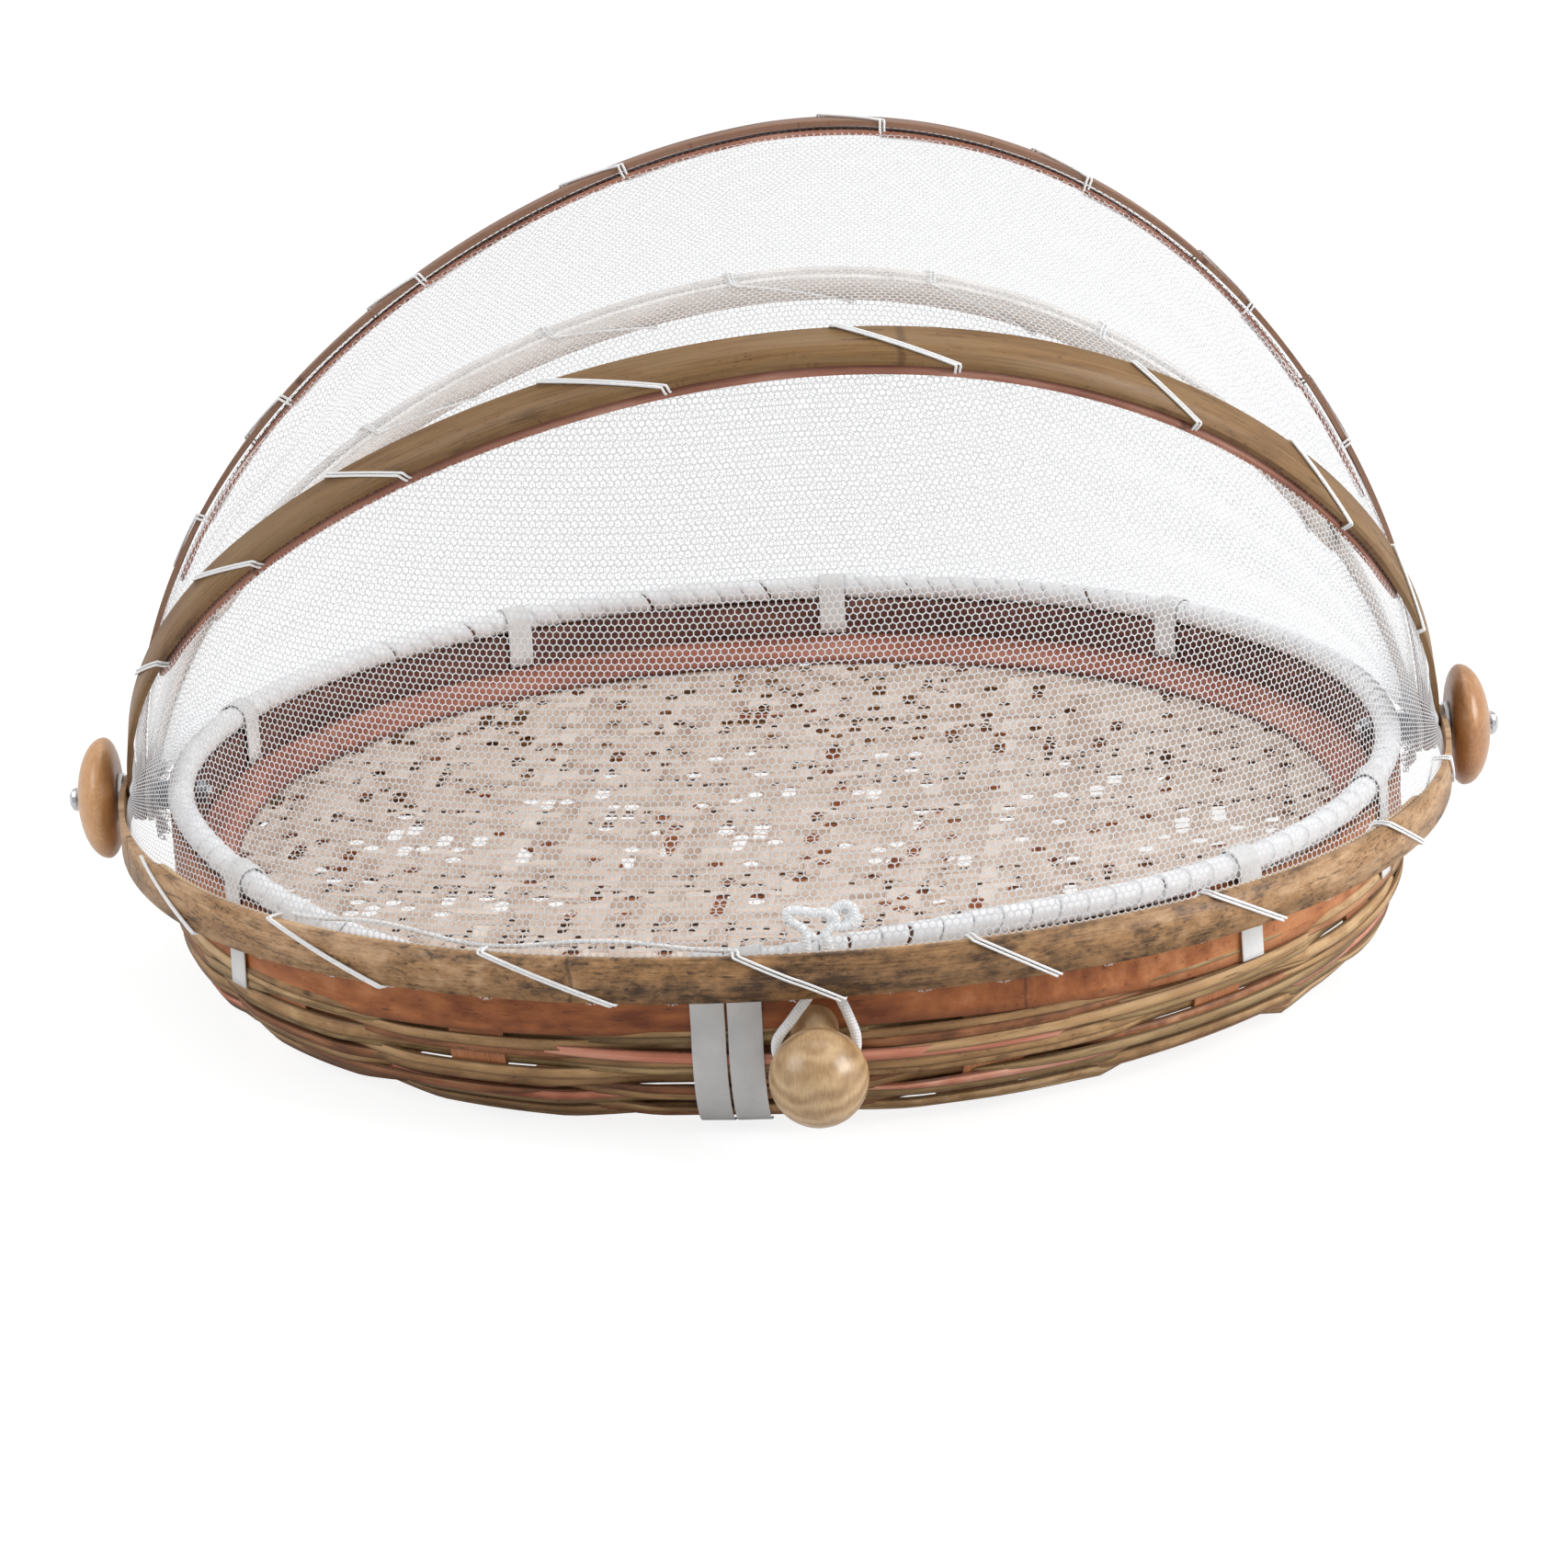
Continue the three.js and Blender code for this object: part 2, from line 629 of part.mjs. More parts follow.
// A ribbon over the rim at one turn: up from the mat ring along the inner band, over the rim ring and
// down outside, then on through the given places. Each place holds a radius, a height and 1 where it
// follows the rim.
const strapFoot = matHeight + matThickness + matRingRise + matRingThickness + 2 * clearance;
const strapReach = cornerRadius(wrapRadius, wrapFacets) + clearance + strapThickness / 2;
function strapBody(turn, width, shift, further) {
  const line = [[rimRadius - strapReach, strapFoot, 0]];
  const arch = strapReach / Math.cos(Math.PI / strapSteps / 2);
  for (let i = 0; i <= strapSteps; i += 1) {
    const round = Math.PI * (1 - i / strapSteps);
    line.push([rimRadius + arch * Math.cos(round), ringHeight(turn) + arch * Math.sin(round), 1]);
  }
  line.push(...further);
  return loft(line.map(([radius, height, follows], i) => {
    const before = line[Math.max(i - 1, 0)];
    const after = line[Math.min(i + 1, line.length - 1)];
    const climb = Math.atan2(after[1] - before[1], after[0] - before[0]);
    return [[1, 1], [-1, 1], [-1, -1], [1, -1]].map(([side, face]) => {
      const edge = turn + (shift + (side * width) / 2) / radius;
      const lift = follows * (ringHeight(edge) - ringHeight(turn));
      const away = (face * strapThickness) / 2;
      return polar(radius - away * Math.sin(climb), edge, height + lift + away * Math.cos(climb));
    });
  }));
}
const strapOutside = rimRadius + strapReach;
strapTurns.forEach((turn, i) => {
  const hanging = [[strapOutside, outerBandBottom + strapLap, 0]];
  add(`rim_strap_${i + 1}`, strapBody(turn, strapWidth, 0, hanging), 'ribbon');
});

// The double front strap runs on over the weavers and tucks under the basket's lower edge
const strapStand = weaveOffset + weaverThickness / 2 + clearance + strapThickness;
const tuckStand = stakeThickness / 2 + clearance + strapThickness;
const strapEnd = wallLength - frontStrapTuck;
const weaveEnd = weaverRows.at(-1).bottom + strapStand;
const offTheWall = (down, stand) => {
  const point = wallPoint(down);
  const slope = wallCurve.getTangentAt(1 - down / wallLength);
  return [point.x + stand * slope.y, point.y - stand * slope.x, 0];
};
const frontLine = [[strapOutside, outerBandBottom + strapStand, 0]];
for (let i = 1; i <= frontSteps; i += 1) {
  frontLine.push(offTheWall((weaveEnd * i) / frontSteps, strapStand));
}
frontLine.push(offTheWall((weaveEnd + strapEnd) / 2, (strapStand + tuckStand) / 2));
frontLine.push(offTheWall(strapEnd, tuckStand));
const strapShift = (frontStrapWidth + frontStrapSpace) / 2;
const frontTurn = basketTurn - Math.PI / 2;
sides.forEach(([side, label]) => {
  const strap = strapBody(frontTurn, frontStrapWidth, side * strapShift, frontLine);
  add(`front_strap_${label}`, strap, 'ribbon');
});

// Hoop outlines in their own plane: half an oval, fuller on one side, offset inwards by a depth
function hoopPoint(hoop, t, depth) {
  const wide = Math.cos(t);
  const high = Math.sin(t);
  const power = 1 / hoop.fullShare;
  const aside = hoop.span * Math.sign(wide) * Math.abs(wide) ** power;
  const out = (hoop.span + hoop.stretch) * high ** power * (1 + hoop.skewShare * wide * high);
  return new THREE.Vector2(aside - wide * depth, out - high * depth);
}
const hoops = hoopKinds.map((kind, i) => {
  const angle = THREE.MathUtils.degToRad(kind.angle);
  return {
    ...kind,
    span: hoopSpan - i * hoopNest,
    outwards: new THREE.Vector3(0, -Math.cos(angle), Math.sin(angle)),
    sideways: new THREE.Vector3(0, Math.sin(angle), Math.cos(angle)),
  };
});

// From a hoop's own plane to the basket's space
function hoopPlace(hoop, flat, sideways = 0) {
  return new THREE.Vector3(flat.x, 0, pivotHeight).addScaledVector(hoop.outwards, flat.y)
    .addScaledVector(hoop.sideways, sideways);
}

// A bent strip along a hoop at a depth under its outline, from one place on the arch to the mirrored one
function hoopStrip(hoop, depth, thickness, width, from, tail) {
  const points = Array.from({ length: hoopFacets + 1 }, (_, i) => (
    hoopPoint(hoop, from + ((Math.PI - 2 * from) * i) / hoopFacets, depth)));
  if (tail) {
    points.unshift(new THREE.Vector2(points[0].x, points[0].y - tail));
    points.push(new THREE.Vector2(points.at(-1).x, points.at(-1).y - tail));
  }
  return loft(points.map((point, i) => {
    const before = points[Math.max(i - 1, 0)];
    const after = points[Math.min(i + 1, points.length - 1)];
    const along = after.clone().sub(before).normalize();
    const through = new THREE.Vector3(along.y, 0, 0).addScaledVector(hoop.outwards, -along.x);
    return stripSection(hoopPlace(hoop, point), hoop.sideways, width, through, thickness);
  }));
}

const netDepth = hoopOuterThickness / 2 + clearance + netThickness / 2;
const innerDepth = netDepth + netThickness / 2 + clearance + hoopInnerThickness / 2;
hoops.forEach((hoop) => {
  const holes = sides.map(([side]) => (
    pivotRod(boltHoleDiameter, hoop.span - hoopOuterThickness, hoop.span + hoopOuterThickness, side)));
  const outer = hoopStrip(hoop, 0, hoopOuterThickness, hoopWidth, 0, hoopTail);
  const inner = hoopStrip(hoop, innerDepth, hoopInnerThickness, hoopInnerWidth, hoopInnerStart, 0);
  add(`${hoop.name}_hoop_outer`, cut(outer, ...holes), 'hoop');
  add(`${hoop.name}_hoop_inner`, inner, 'hoopInner');
});

// Folds of a net panel: rows of the cloth lie in and out by turns, most near the pivots
function foldDepth(t, row) {
  const near = Math.min(t, Math.PI - t);
  const fade = bump(near, netFoldReach / 2, netFoldReach / 2);
  return row > 1 && row < netRows ? netFold * fade * (-1) ** row : 0;
}

// Net panels: from the middle of one hoop's sandwich to the middle of the next, sagging a little inwards
const netEdge = hoopWidth / 2 + clearance;
function netPoint(first, second, t, row) {
  const start = hoopPoint(first, t, netDepth);
  const end = hoopPoint(second, t, netDepth);
  const ends = [hoopPlace(first, start, clearance), hoopPlace(first, start, netEdge),
    hoopPlace(second, end, -netEdge), hoopPlace(second, end, -clearance)];
  if (row === 0) return ends[0];
  if (row === netRows + 1) return ends[3];
  const share = (row - 1) / (netRows - 1);
  const middle = ends[1].clone().lerp(ends[2], share);
  const sag = netSag * Math.sin(t) * Math.sin(Math.PI * share);
  return middle.addScaledVector(towardsAxis(middle), sag + foldDepth(t, row));
}

function towardsAxis(point) {
  return new THREE.Vector3(0, -point.y, pivotHeight - point.z).normalize();
}

function netPanel(place) {
  const rows = Array.from({ length: netRows + 2 }, (_, row) => (
    Array.from({ length: hoopFacets + 1 }, (__, i) => (
      place(netStart + ((Math.PI - 2 * netStart) * i) / hoopFacets, row)))));
  const face = (offset) => rows.map((row, j) => row.map((point, i) => {
    const along = row[Math.min(i + 1, hoopFacets)].clone().sub(row[Math.max(i - 1, 0)]);
    const across = rows[Math.min(j + 1, netRows + 1)][i].clone().sub(rows[Math.max(j - 1, 0)][i]);
    return point.clone().addScaledVector(across.cross(along).normalize(), offset);
  }));
  return shell(face(netThickness / 2), face(-netThickness / 2));
}
const [front, mid, top, back] = hoops;
add('net_front', netPanel((t, row) => netPoint(front, mid, t, row)), 'net');
add('net_upper', netPanel((t, row) => netPoint(mid, top, t, row)), 'net');
add('net_rear', netPanel((t, row) => netPoint(top, back, t, row)), 'net');

// The last panel comes down from the back hoop to the outside of the rim ring
const hemRadius = rimRadius + strapReach + strapThickness / 2 + clearance + netThickness;
add('net_back', netPanel((t, row) => {
  const start = hoopPoint(back, t, netDepth);
  const ends = [hoopPlace(back, start, clearance), hoopPlace(back, start, netEdge)];
  if (row < 2) return ends[row];
  const shoulder = polar(hemRadius, t, ringHeight(t) + wrapRadius);
  if (row > netRows) return shoulder.setZ(ringHeight(t) - hemDrop);
  const middle = ends[1].lerp(shoulder, (row - 1) / (netRows - 1));
  return middle.addScaledVector(towardsAxis(middle), foldDepth(t, row));
}), 'net');

// Pivot hardware on both sides: nut, bolt, spacer, washer, wooden button
const washerFrom = hoopSpan + hoopOuterThickness / 2 + clearance;
const washerTo = washerFrom + washerThickness;
const buttonFrom = washerTo + clearance;
const buttonTo = buttonFrom + buttonThickness;
const nutTo = innerBandRadius - clearance;
const nutFrom = nutTo - nutThickness;
const boltFrom = nutFrom - boltEnd;

// A quarter turn in even steps, each step made into a [radius, distance] pair
function quarter(steps, pair) {
  return Array.from({ length: steps + 1 }, (_, i) => pair((Math.PI * i) / 2 / steps));
}

// Screw outline: a shank and a domed head
const boltRadius = boltDiameter / 2;
const headRadius = boltHeadDiameter / 2;
const shank = buttonTo + clearance - boltFrom;
const dome = quarter(headSteps, (round) => (
  [headRadius * Math.cos(round), shank + boltHeadHeight * Math.sin(round)]));
const boltProfile = [[0, 0], [boltRadius, 0], [boltRadius, shank], ...dome];

// Wooden button: it bulges outwards and is flatter towards the hoops
const buttonRadius = buttonDiameter / 2;
const buttonBack = buttonThickness * buttonBackShare;
const buttonBulge = buttonThickness - buttonBack;
const flatSide = quarter(buttonSteps, (round) => (
  [(buttonRadius * (1 + Math.sin(round))) / 2, buttonBack * (1 - Math.cos(round))]));
const roundSide = quarter(buttonSteps, (round) => (
  [buttonRadius * Math.cos(round), buttonBack + buttonBulge * Math.sin(round)]));
const buttonProfile = [[0, 0], ...flatSide, ...roundSide.slice(1)];

sides.forEach(([side, label]) => {
  const axis = new THREE.Vector3(side, 0, 0);
  const at = (reach) => new THREE.Vector3(side * reach, 0, pivotHeight);
  const drilled = (body, from, to) => (
    cut(body, pivotRod(boltHoleDiameter, from - cutOverrun, to + cutOverrun, side)));
  const sleeve = (diameter, from, to) => drilled(pivotRod(diameter, from, to, side), from, to);
  const hexagon = rod(at(nutFrom), at(nutTo), cornerRadius(nutWidth, nutFacets), nutFacets);
  const button = turned(buttonProfile, at(buttonFrom), axis, smoothFacets);
  add(`pivot_spacer_${label}`, sleeve(spacerDiameter, spacerFrom, spacerTo), 'steel');
  add(`pivot_washer_${label}`, sleeve(washerDiameter, washerFrom, washerTo), 'chrome');
  add(`pivot_nut_${label}`, drilled(hexagon, nutFrom, nutTo), 'steel');
  add(`pivot_bolt_${label}`, turned(boltProfile, at(boltFrom), axis), 'chrome');
  add(`pivot_button_${label}`, drilled(button, buttonFrom, buttonTo), 'button');
});

// Knob: a ball on a neck whose end is cut at a slant so that it hangs a little, on a screw driven from
// inside
const ballRadius = knobDiameter / 2;
const neckRadius = knobNeckDiameter / 2;
const ballMiddle = knobNeckLength + Math.sqrt(ballRadius ** 2 - neckRadius ** 2);
const neckOverrun = neckRadius * Math.tan(knobDroop) + cutOverrun;
const neckTurn = Math.asin(neckRadius / ballRadius);
const knobProfile = [[0, -neckOverrun], [neckRadius, -neckOverrun]];
for (let i = 0; i <= ballSteps; i += 1) {
  const round = (Math.PI - neckTurn) * (1 - i / ballSteps);
  knobProfile.push([ballRadius * Math.sin(round), ballMiddle + ballRadius * Math.cos(round)]);
}
const slantCut = rod(knobSeat.clone().addScaledVector(knobOut, -knobDiameter), knobSeat, 2 * knobDiameter);
add('knob', cut(turned(knobProfile, knobSeat, knobAxis, smoothFacets), slantCut, knobHole), 'knob');

const screwHeadTo = screwFrom + knobScrewHeadHeight;
const screwLength = wallOutside + knobScrewDepth - clearance - screwFrom;
const screwRadius = knobScrewDiameter / 2;
const screwProfile = [[0, 0], [knobScrewHeadDiameter / 2, 0], [screwRadius, screwHeadTo - screwFrom],
  [screwRadius, screwLength - knobScrewDiameter], [0, screwLength]];
add('knob_screw', turned(screwProfile, screwStart, knobOut), 'steel');

// Elastic loop: from the knot behind the front hoop down under its edge and round the knob's neck.
// Each place is sideways, outwards from the knob's seat and up from it, as shares of the loop's rise.
const elasticShares = [
  [-0.083, 0.142, 1], [-0.108, 0.208, 0.792], [-0.125, 0.217, 0.5], [-0.25, 0.233, 0.25],
  [-0.383, 0.225, 0.021], [-0.317, 0.142, -0.217], [0, 0.092, -0.342], [0.317, 0.142, -0.217],
  [0.383, 0.225, 0.021], [0.25, 0.233, 0.25], [0.125, 0.217, 0.5], [0.108, 0.208, 0.792], [0.083, 0.142, 1],
];
const knobSide = new THREE.Vector3(-Math.sin(knobTurn), Math.cos(knobTurn), 0);
const fromSeat = (sideways, outwards, above) => knobSeat.clone().addScaledVector(knobSide, sideways)
  .addScaledVector(knobOut, outwards).addScaledVector(up, above);
const elasticRoute = elasticShares.map((shares) => fromSeat(...shares.map((share) => share * elasticRise)));
const elasticCurve = new THREE.CatmullRomCurve3(elasticRoute, false, 'centripetal');
const elasticLine = elasticCurve.getSpacedPoints(elasticSteps);
add('elastic_loop', bar(elasticLine, elasticDiameter / 2, elasticFacets), 'elastic');

// The loop's knot, tied behind the hoop above both legs
const knotRadius = knotDiameter / 2;
const knotProfile = Array.from({ length: knotSteps + 1 }, (_, i) => {
  const round = (Math.PI * i) / knotSteps;
  return [i % knotSteps ? knotRadius * Math.sin(round) : 0, -knotRadius * Math.cos(round)];
});
add('elastic_knot', turned(knotProfile, fromSeat(0, knotStand, knotLift), knobSide), 'elastic');

export default part;
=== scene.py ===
# Woven food basket with a folding net cover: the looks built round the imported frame.
# Metres, Z up. The basket stands on z = 0 with its knob towards -Y and the hoop pivots along X.
from math import acos, asin, atan2, ceil, cos, degrees, floor, pi, radians, sin, sqrt

import bpy
import numpy as np
from mathutils import Matrix


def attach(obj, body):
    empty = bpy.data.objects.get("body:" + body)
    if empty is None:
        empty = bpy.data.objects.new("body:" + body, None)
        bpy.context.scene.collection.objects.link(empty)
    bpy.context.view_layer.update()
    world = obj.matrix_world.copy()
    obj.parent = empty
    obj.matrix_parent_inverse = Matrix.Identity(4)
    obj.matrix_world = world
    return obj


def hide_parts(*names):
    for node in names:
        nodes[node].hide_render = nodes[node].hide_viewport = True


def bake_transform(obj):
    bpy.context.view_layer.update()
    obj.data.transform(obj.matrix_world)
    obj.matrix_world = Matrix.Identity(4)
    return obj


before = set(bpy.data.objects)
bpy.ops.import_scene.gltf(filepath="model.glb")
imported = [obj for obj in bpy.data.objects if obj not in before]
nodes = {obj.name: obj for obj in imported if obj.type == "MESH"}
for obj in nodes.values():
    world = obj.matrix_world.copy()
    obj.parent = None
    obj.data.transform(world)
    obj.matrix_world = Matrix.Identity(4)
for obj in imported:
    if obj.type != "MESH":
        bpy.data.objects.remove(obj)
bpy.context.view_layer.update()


# Camera: the photograph's place and tilt, looking a little down on the front of the basket.
def in_scene(name, data):
    """A new object with this data, linked into the scene."""
    made = bpy.data.objects.new(name, data)
    bpy.context.scene.collection.objects.link(made)
    return made


camera = in_scene("camera", bpy.data.cameras.new("camera"))
camera.data.sensor_width = 36
camera.data.lens = 105.51
camera.data.clip_start = 0.05
camera.matrix_world = Matrix((
    (0.998529, 0.054202, -0.001470, -0.00216),
    (-0.017276, 0.292330, -0.956161, -1.16385),
    (-0.051396, 0.954780, 0.292837, 0.39508),
    (0, 0, 0, 1),
))
bpy.context.scene.camera = camera
bpy.context.scene.view_settings.view_transform = "Standard"


# Studio: white for the camera, with soft light from both sides and above, little from the front, and a pale
# floor that glows like a light table. A dim disc under the mat stands for the light that comes from below.
def put(tree, kind, *plugs, named=None, **settings):
    """The outputs of a new shader node. Values or links go into its numbered sockets, and the named ones."""
    made = tree.nodes.new("ShaderNode" + kind)
    for key, value in settings.items():
        setattr(made, key, value)
    for slot, value in [*enumerate(plugs), *(named or {}).items()]:
        if isinstance(value, bpy.types.NodeSocket):
            tree.links.new(value, made.inputs[slot])
        elif value is not None:
            made.inputs[slot].default_value = value
    return made.outputs


def calc(tree, operation, *plugs):
    """One operation of arithmetic on one or two numbers."""
    return put(tree, "Math", *plugs, operation=operation)[0]


def spread(tree, value, *limits):
    """The value carried in a straight line from its first two limits to the last two, and held beyond."""
    return put(tree, "MapRange", value, *limits)[0]


def tint(code):
    """A screen colour as light: each part plus 0.055, over 1.055, to the power 2.4, or over 12.92 if dark."""
    parts = [int(code[i:i + 2], 16) / 255 for i in (0, 2, 4)]
    return (*[p / 12.92 if p <= 0.04045 else ((p + 0.055) / 1.055) ** 2.4 for p in parts], 1)


def new_shader(name):
    """A new material with an empty graph."""
    made = bpy.data.materials.new(name)
    made.use_nodes = True
    made.node_tree.nodes.clear()
    return made, made.node_tree


def area_light(name, place, size, power, turned):
    """A flat lamp of a size and power at a place."""
    made = in_scene(name, bpy.data.lights.new(name, "AREA"))
    made.data.size = size
    made.data.energy = power
    made.location = place
    made.rotation_euler = turned
    return made


white = (1, 1, 1, 1)
world = bpy.data.worlds.new("studio")
bpy.context.scene.world = world
world.use_nodes = True
tree = world.node_tree
tree.nodes.clear()
toward_front = put(tree, "SeparateXYZ", put(tree, "TexCoord")["Generated"])[1]
sky = put(tree, "Background", white, spread(tree, toward_front, -0.95, -0.1, 0.28, 0.7))[0]
backdrop = put(tree, "Background", white, 1.0)[0]
ray = put(tree, "LightPath")
seen = calc(tree, "MAXIMUM", ray["Is Camera Ray"], ray["Is Transmission Ray"])
put(tree, "OutputWorld", put(tree, "MixShader", seen, sky, backdrop)[0])

aim = np.array((0, 0, 0.08))
for name, place, size, power in (
    ("left_light", (-1.15, -0.45, 0.95), 0.8, 8),
    ("right_light", (1.2, -0.5, 0.75), 0.8, 17),
    ("top_light", (0.1, 0.5, 1.5), 1.0, 5),
):
    away = np.array(place) - aim
    area_light(name, place, size, power, (acos(away[2] / np.linalg.norm(away)), 0, atan2(away[0], -away[1])))
under_light = area_light("under_light", (0, 0.012, 0.018), 0.27, 0.2, (pi, 0, 0))
under_light.data.shape = "DISK"

floor_mesh = bpy.data.meshes.new("floor")
floor_mesh.from_pydata([(-6, -3, 0), (6, -3, 0), (6, 9, 0), (-6, 9, 0)], [], [(0, 1, 2, 3)])
ground = in_scene("floor", floor_mesh)
floor_shader, tree = new_shader("floor")
glow = put(tree, "Emission", white, 0.85)[0]
shown = put(tree, "AddShader", glow, put(tree, "BsdfDiffuse", (0.22, 0.22, 0.22, 1))[0])[0]
lighting = put(tree, "BsdfDiffuse", (0.75, 0.75, 0.75, 1))[0]
seen = put(tree, "LightPath")["Is Camera Ray"]
put(tree, "OutputMaterial", put(tree, "MixShader", seen, lighting, shown)[0])
ground.data.materials.append(floor_shader)


# Stakes: eight wide strips of split bamboo cross under the mat and turn up, and their ends are the wall's
# sixteen stakes, held by the weavers. They keep their frame shape, with fibres that run along each strip.
def times(tree, first, second):
    """The product of two numbers."""
    return calc(tree, "MULTIPLY", first, second)


def plus(tree, first, second):
    """The sum of two numbers."""
    return calc(tree, "ADD", first, second)


def noise(tree, where, scale, detail, rough):
    """Smooth noise about 0.5, with so many waves to a metre and finer waves on top."""
    return put(tree, "TexNoise", where, None, scale, detail, rough)[0]


def ramp(tree, value, codes, stops=(0.0, 0.5, 1.0)):
    """A colour for the value: straight mixes of a dark, a middle and a light one between three stops."""
    colour = put(tree, "ValToRGB", value)[0]
    marks = colour.node.color_ramp.elements
    marks[0].position = stops[0]
    marks[1].position = stops[2]
    marks.new(stops[1])
    for mark, code in zip(marks, codes):
        mark.color = tint(code)
    return colour


def relief(tree, height, strength, depth):
    """The surface tilted as if it rose and fell with the height, by up to the depth."""
    return put(tree, "Bump", strength, depth, named={"Height": height})[0]


def coat(tree, colour, rough, tilted, **more):
    """The end of a graph: one coat with its colour, roughness and relief, and what else is named."""
    sockets = {"Base Color": colour, "Roughness": rough, "Normal": tilted, **more}
    put(tree, "OutputMaterial", put(tree, "BsdfPrincipled", named=sockets)[0])


def recoat(node, shader):
    """A piece of the frame gets a new material."""
    nodes[node].data.materials.clear()
    nodes[node].data.materials.append(shader)


basket_angle = -6
basket_turn = radians(basket_angle)


def stake_shader(name, crossways):
    """Bamboo whose noise is fine across the strip and slow along it: by turn and height on the wall, and by
    the strip's own direction where it lies flat."""
    made, tree = new_shader(name)
    spot = put(tree, "TexCoord")["Object"]
    turned = put(tree, "VectorRotate", spot, None, None, -basket_turn, rotation_type="Z_AXIS")[0]
    x, y, z = put(tree, "SeparateXYZ", turned)
    turn = calc(tree, "ARCTAN2", y, x)
    wall = put(tree, "CombineXYZ", times(tree, turn, 380.0), 0.0, times(tree, z, 40.0))[0]
    fine_x, fine_y = (30.0, 2200.0) if crossways else (2200.0, 30.0)
    flat = put(tree, "CombineXYZ", times(tree, x, fine_x), times(tree, y, fine_y), 0.0)[0]
    low = calc(tree, "LESS_THAN", z, 0.004)
    where = put(tree, "Mix", low, data_type="VECTOR", named={4: wall, 5: flat})[1]
    fibres = noise(tree, where, 1.0, 4.0, 0.6)
    blotches = noise(tree, spot, 38.0, 3.0, 0.5)
    mixed = plus(tree, times(tree, fibres, 0.6), times(tree, blotches, 0.5))
    colour = ramp(tree, mixed, "6f3d22 a9683f c98d62".split(), (0.3, 0.52, 0.75))
    coat(tree, colour, 0.55, relief(tree, fibres, 0.4, 0.0004))
    return made


for kind, count, crossways in (("cross_strip", 3, True), ("long_strip", 5, False)):
    shader = stake_shader(kind, crossways)
    for number in range(1, count + 1):
        recoat(f"{kind}_{number}", shader)


# Weavers: thin uneven strips of split bamboo, two to each row of the frame, woven outside one stake and
# inside the next. They lap over their neighbours like shingles, and stand out and rise at the right front.
def face_corners(grid):
    """The four corners of each face of a grid: a point, the next in its row, and the two in the row after."""
    return np.stack([grid[:, :-1, :-1], grid[:, :-1, 1:], grid[:, 1:, 1:], grid[:, 1:, :-1]], 3)


def skin(name, points, grain, form="sheet", tone=0.0, smooth=True):
    """A surface through a grid of points, or through patches of them, patches x rows x columns. A sheet is
    open, the columns of a collar, a rod and a ring run round, a rod's ends are closed, and a ring's rows run
    round too. The grain map holds metres along and across, and the tone makes the piece darker or paler."""
    if points.ndim == 3:
        points = points[None]
        grain = grain[None]
    count, rows, columns = points.shape[:3]
    row = np.arange(rows + (form == "ring"))[:, None] % rows
    column = np.arange(columns + (form != "sheet")) % columns
    start = np.arange(count)[:, None, None] * rows * columns
    loops = face_corners(row * columns + column + start).ravel()
    uv = face_corners(grain).reshape(-1, 2)
    starts = np.arange(0, len(loops), 4)
    if form == "rod":
        ends = np.stack([np.arange(columns)[::-1], (rows - 1) * columns + np.arange(columns)]) + start
        starts = np.concatenate([starts, len(loops) + np.arange(2 * count) * columns])
        loops = np.concatenate([loops, ends.ravel()])
        flat = grain[:, [0, -1]][:, :, :columns]
        flat[:, 0] = flat[:, 0, ::-1]
        uv = np.concatenate([uv, flat.reshape(-1, 2)])
    mesh = bpy.data.meshes.new(name)
    mesh.vertices.add(count * rows * columns)
    mesh.vertices.foreach_set("co", points.astype(np.float32).ravel())
    mesh.loops.add(len(loops))
    mesh.loops.foreach_set("vertex_index", loops.astype(np.int32))
    mesh.polygons.add(len(starts))
    mesh.polygons.foreach_set("loop_start", starts.astype(np.int32))
    mesh.update(calc_edges=True)
    mesh.uv_layers.new(name="grain").data.foreach_set("uv", uv.astype(np.float32).ravel())
    shade = np.broadcast_to(tone, (count, rows, columns)).astype(np.float32)
    mesh.attributes.new("tone", "FLOAT", "POINT").data.foreach_set("value", shade.ravel())
    mesh.polygons.foreach_set("use_smooth", np.full(len(starts), smooth))
    mesh.validate()
    return in_scene(name, mesh)


def dress(piece, shader, slot, *replaced, body="basket"):
    """A piece gets its material and the body it moves with, and the frame's nodes it stands for are hidden.
    The slot is not used.
    """
    piece.data.materials.append(shader)
    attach(piece, body)
    if replaced:
        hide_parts(*replaced)


def read_grain(tree):
    """The grain map, with its metres along and across the piece."""
    grain = put(tree, "UVMap", uv_map="grain")[0]
    along, across, _ = put(tree, "SeparateXYZ", grain)
    return grain, along, across


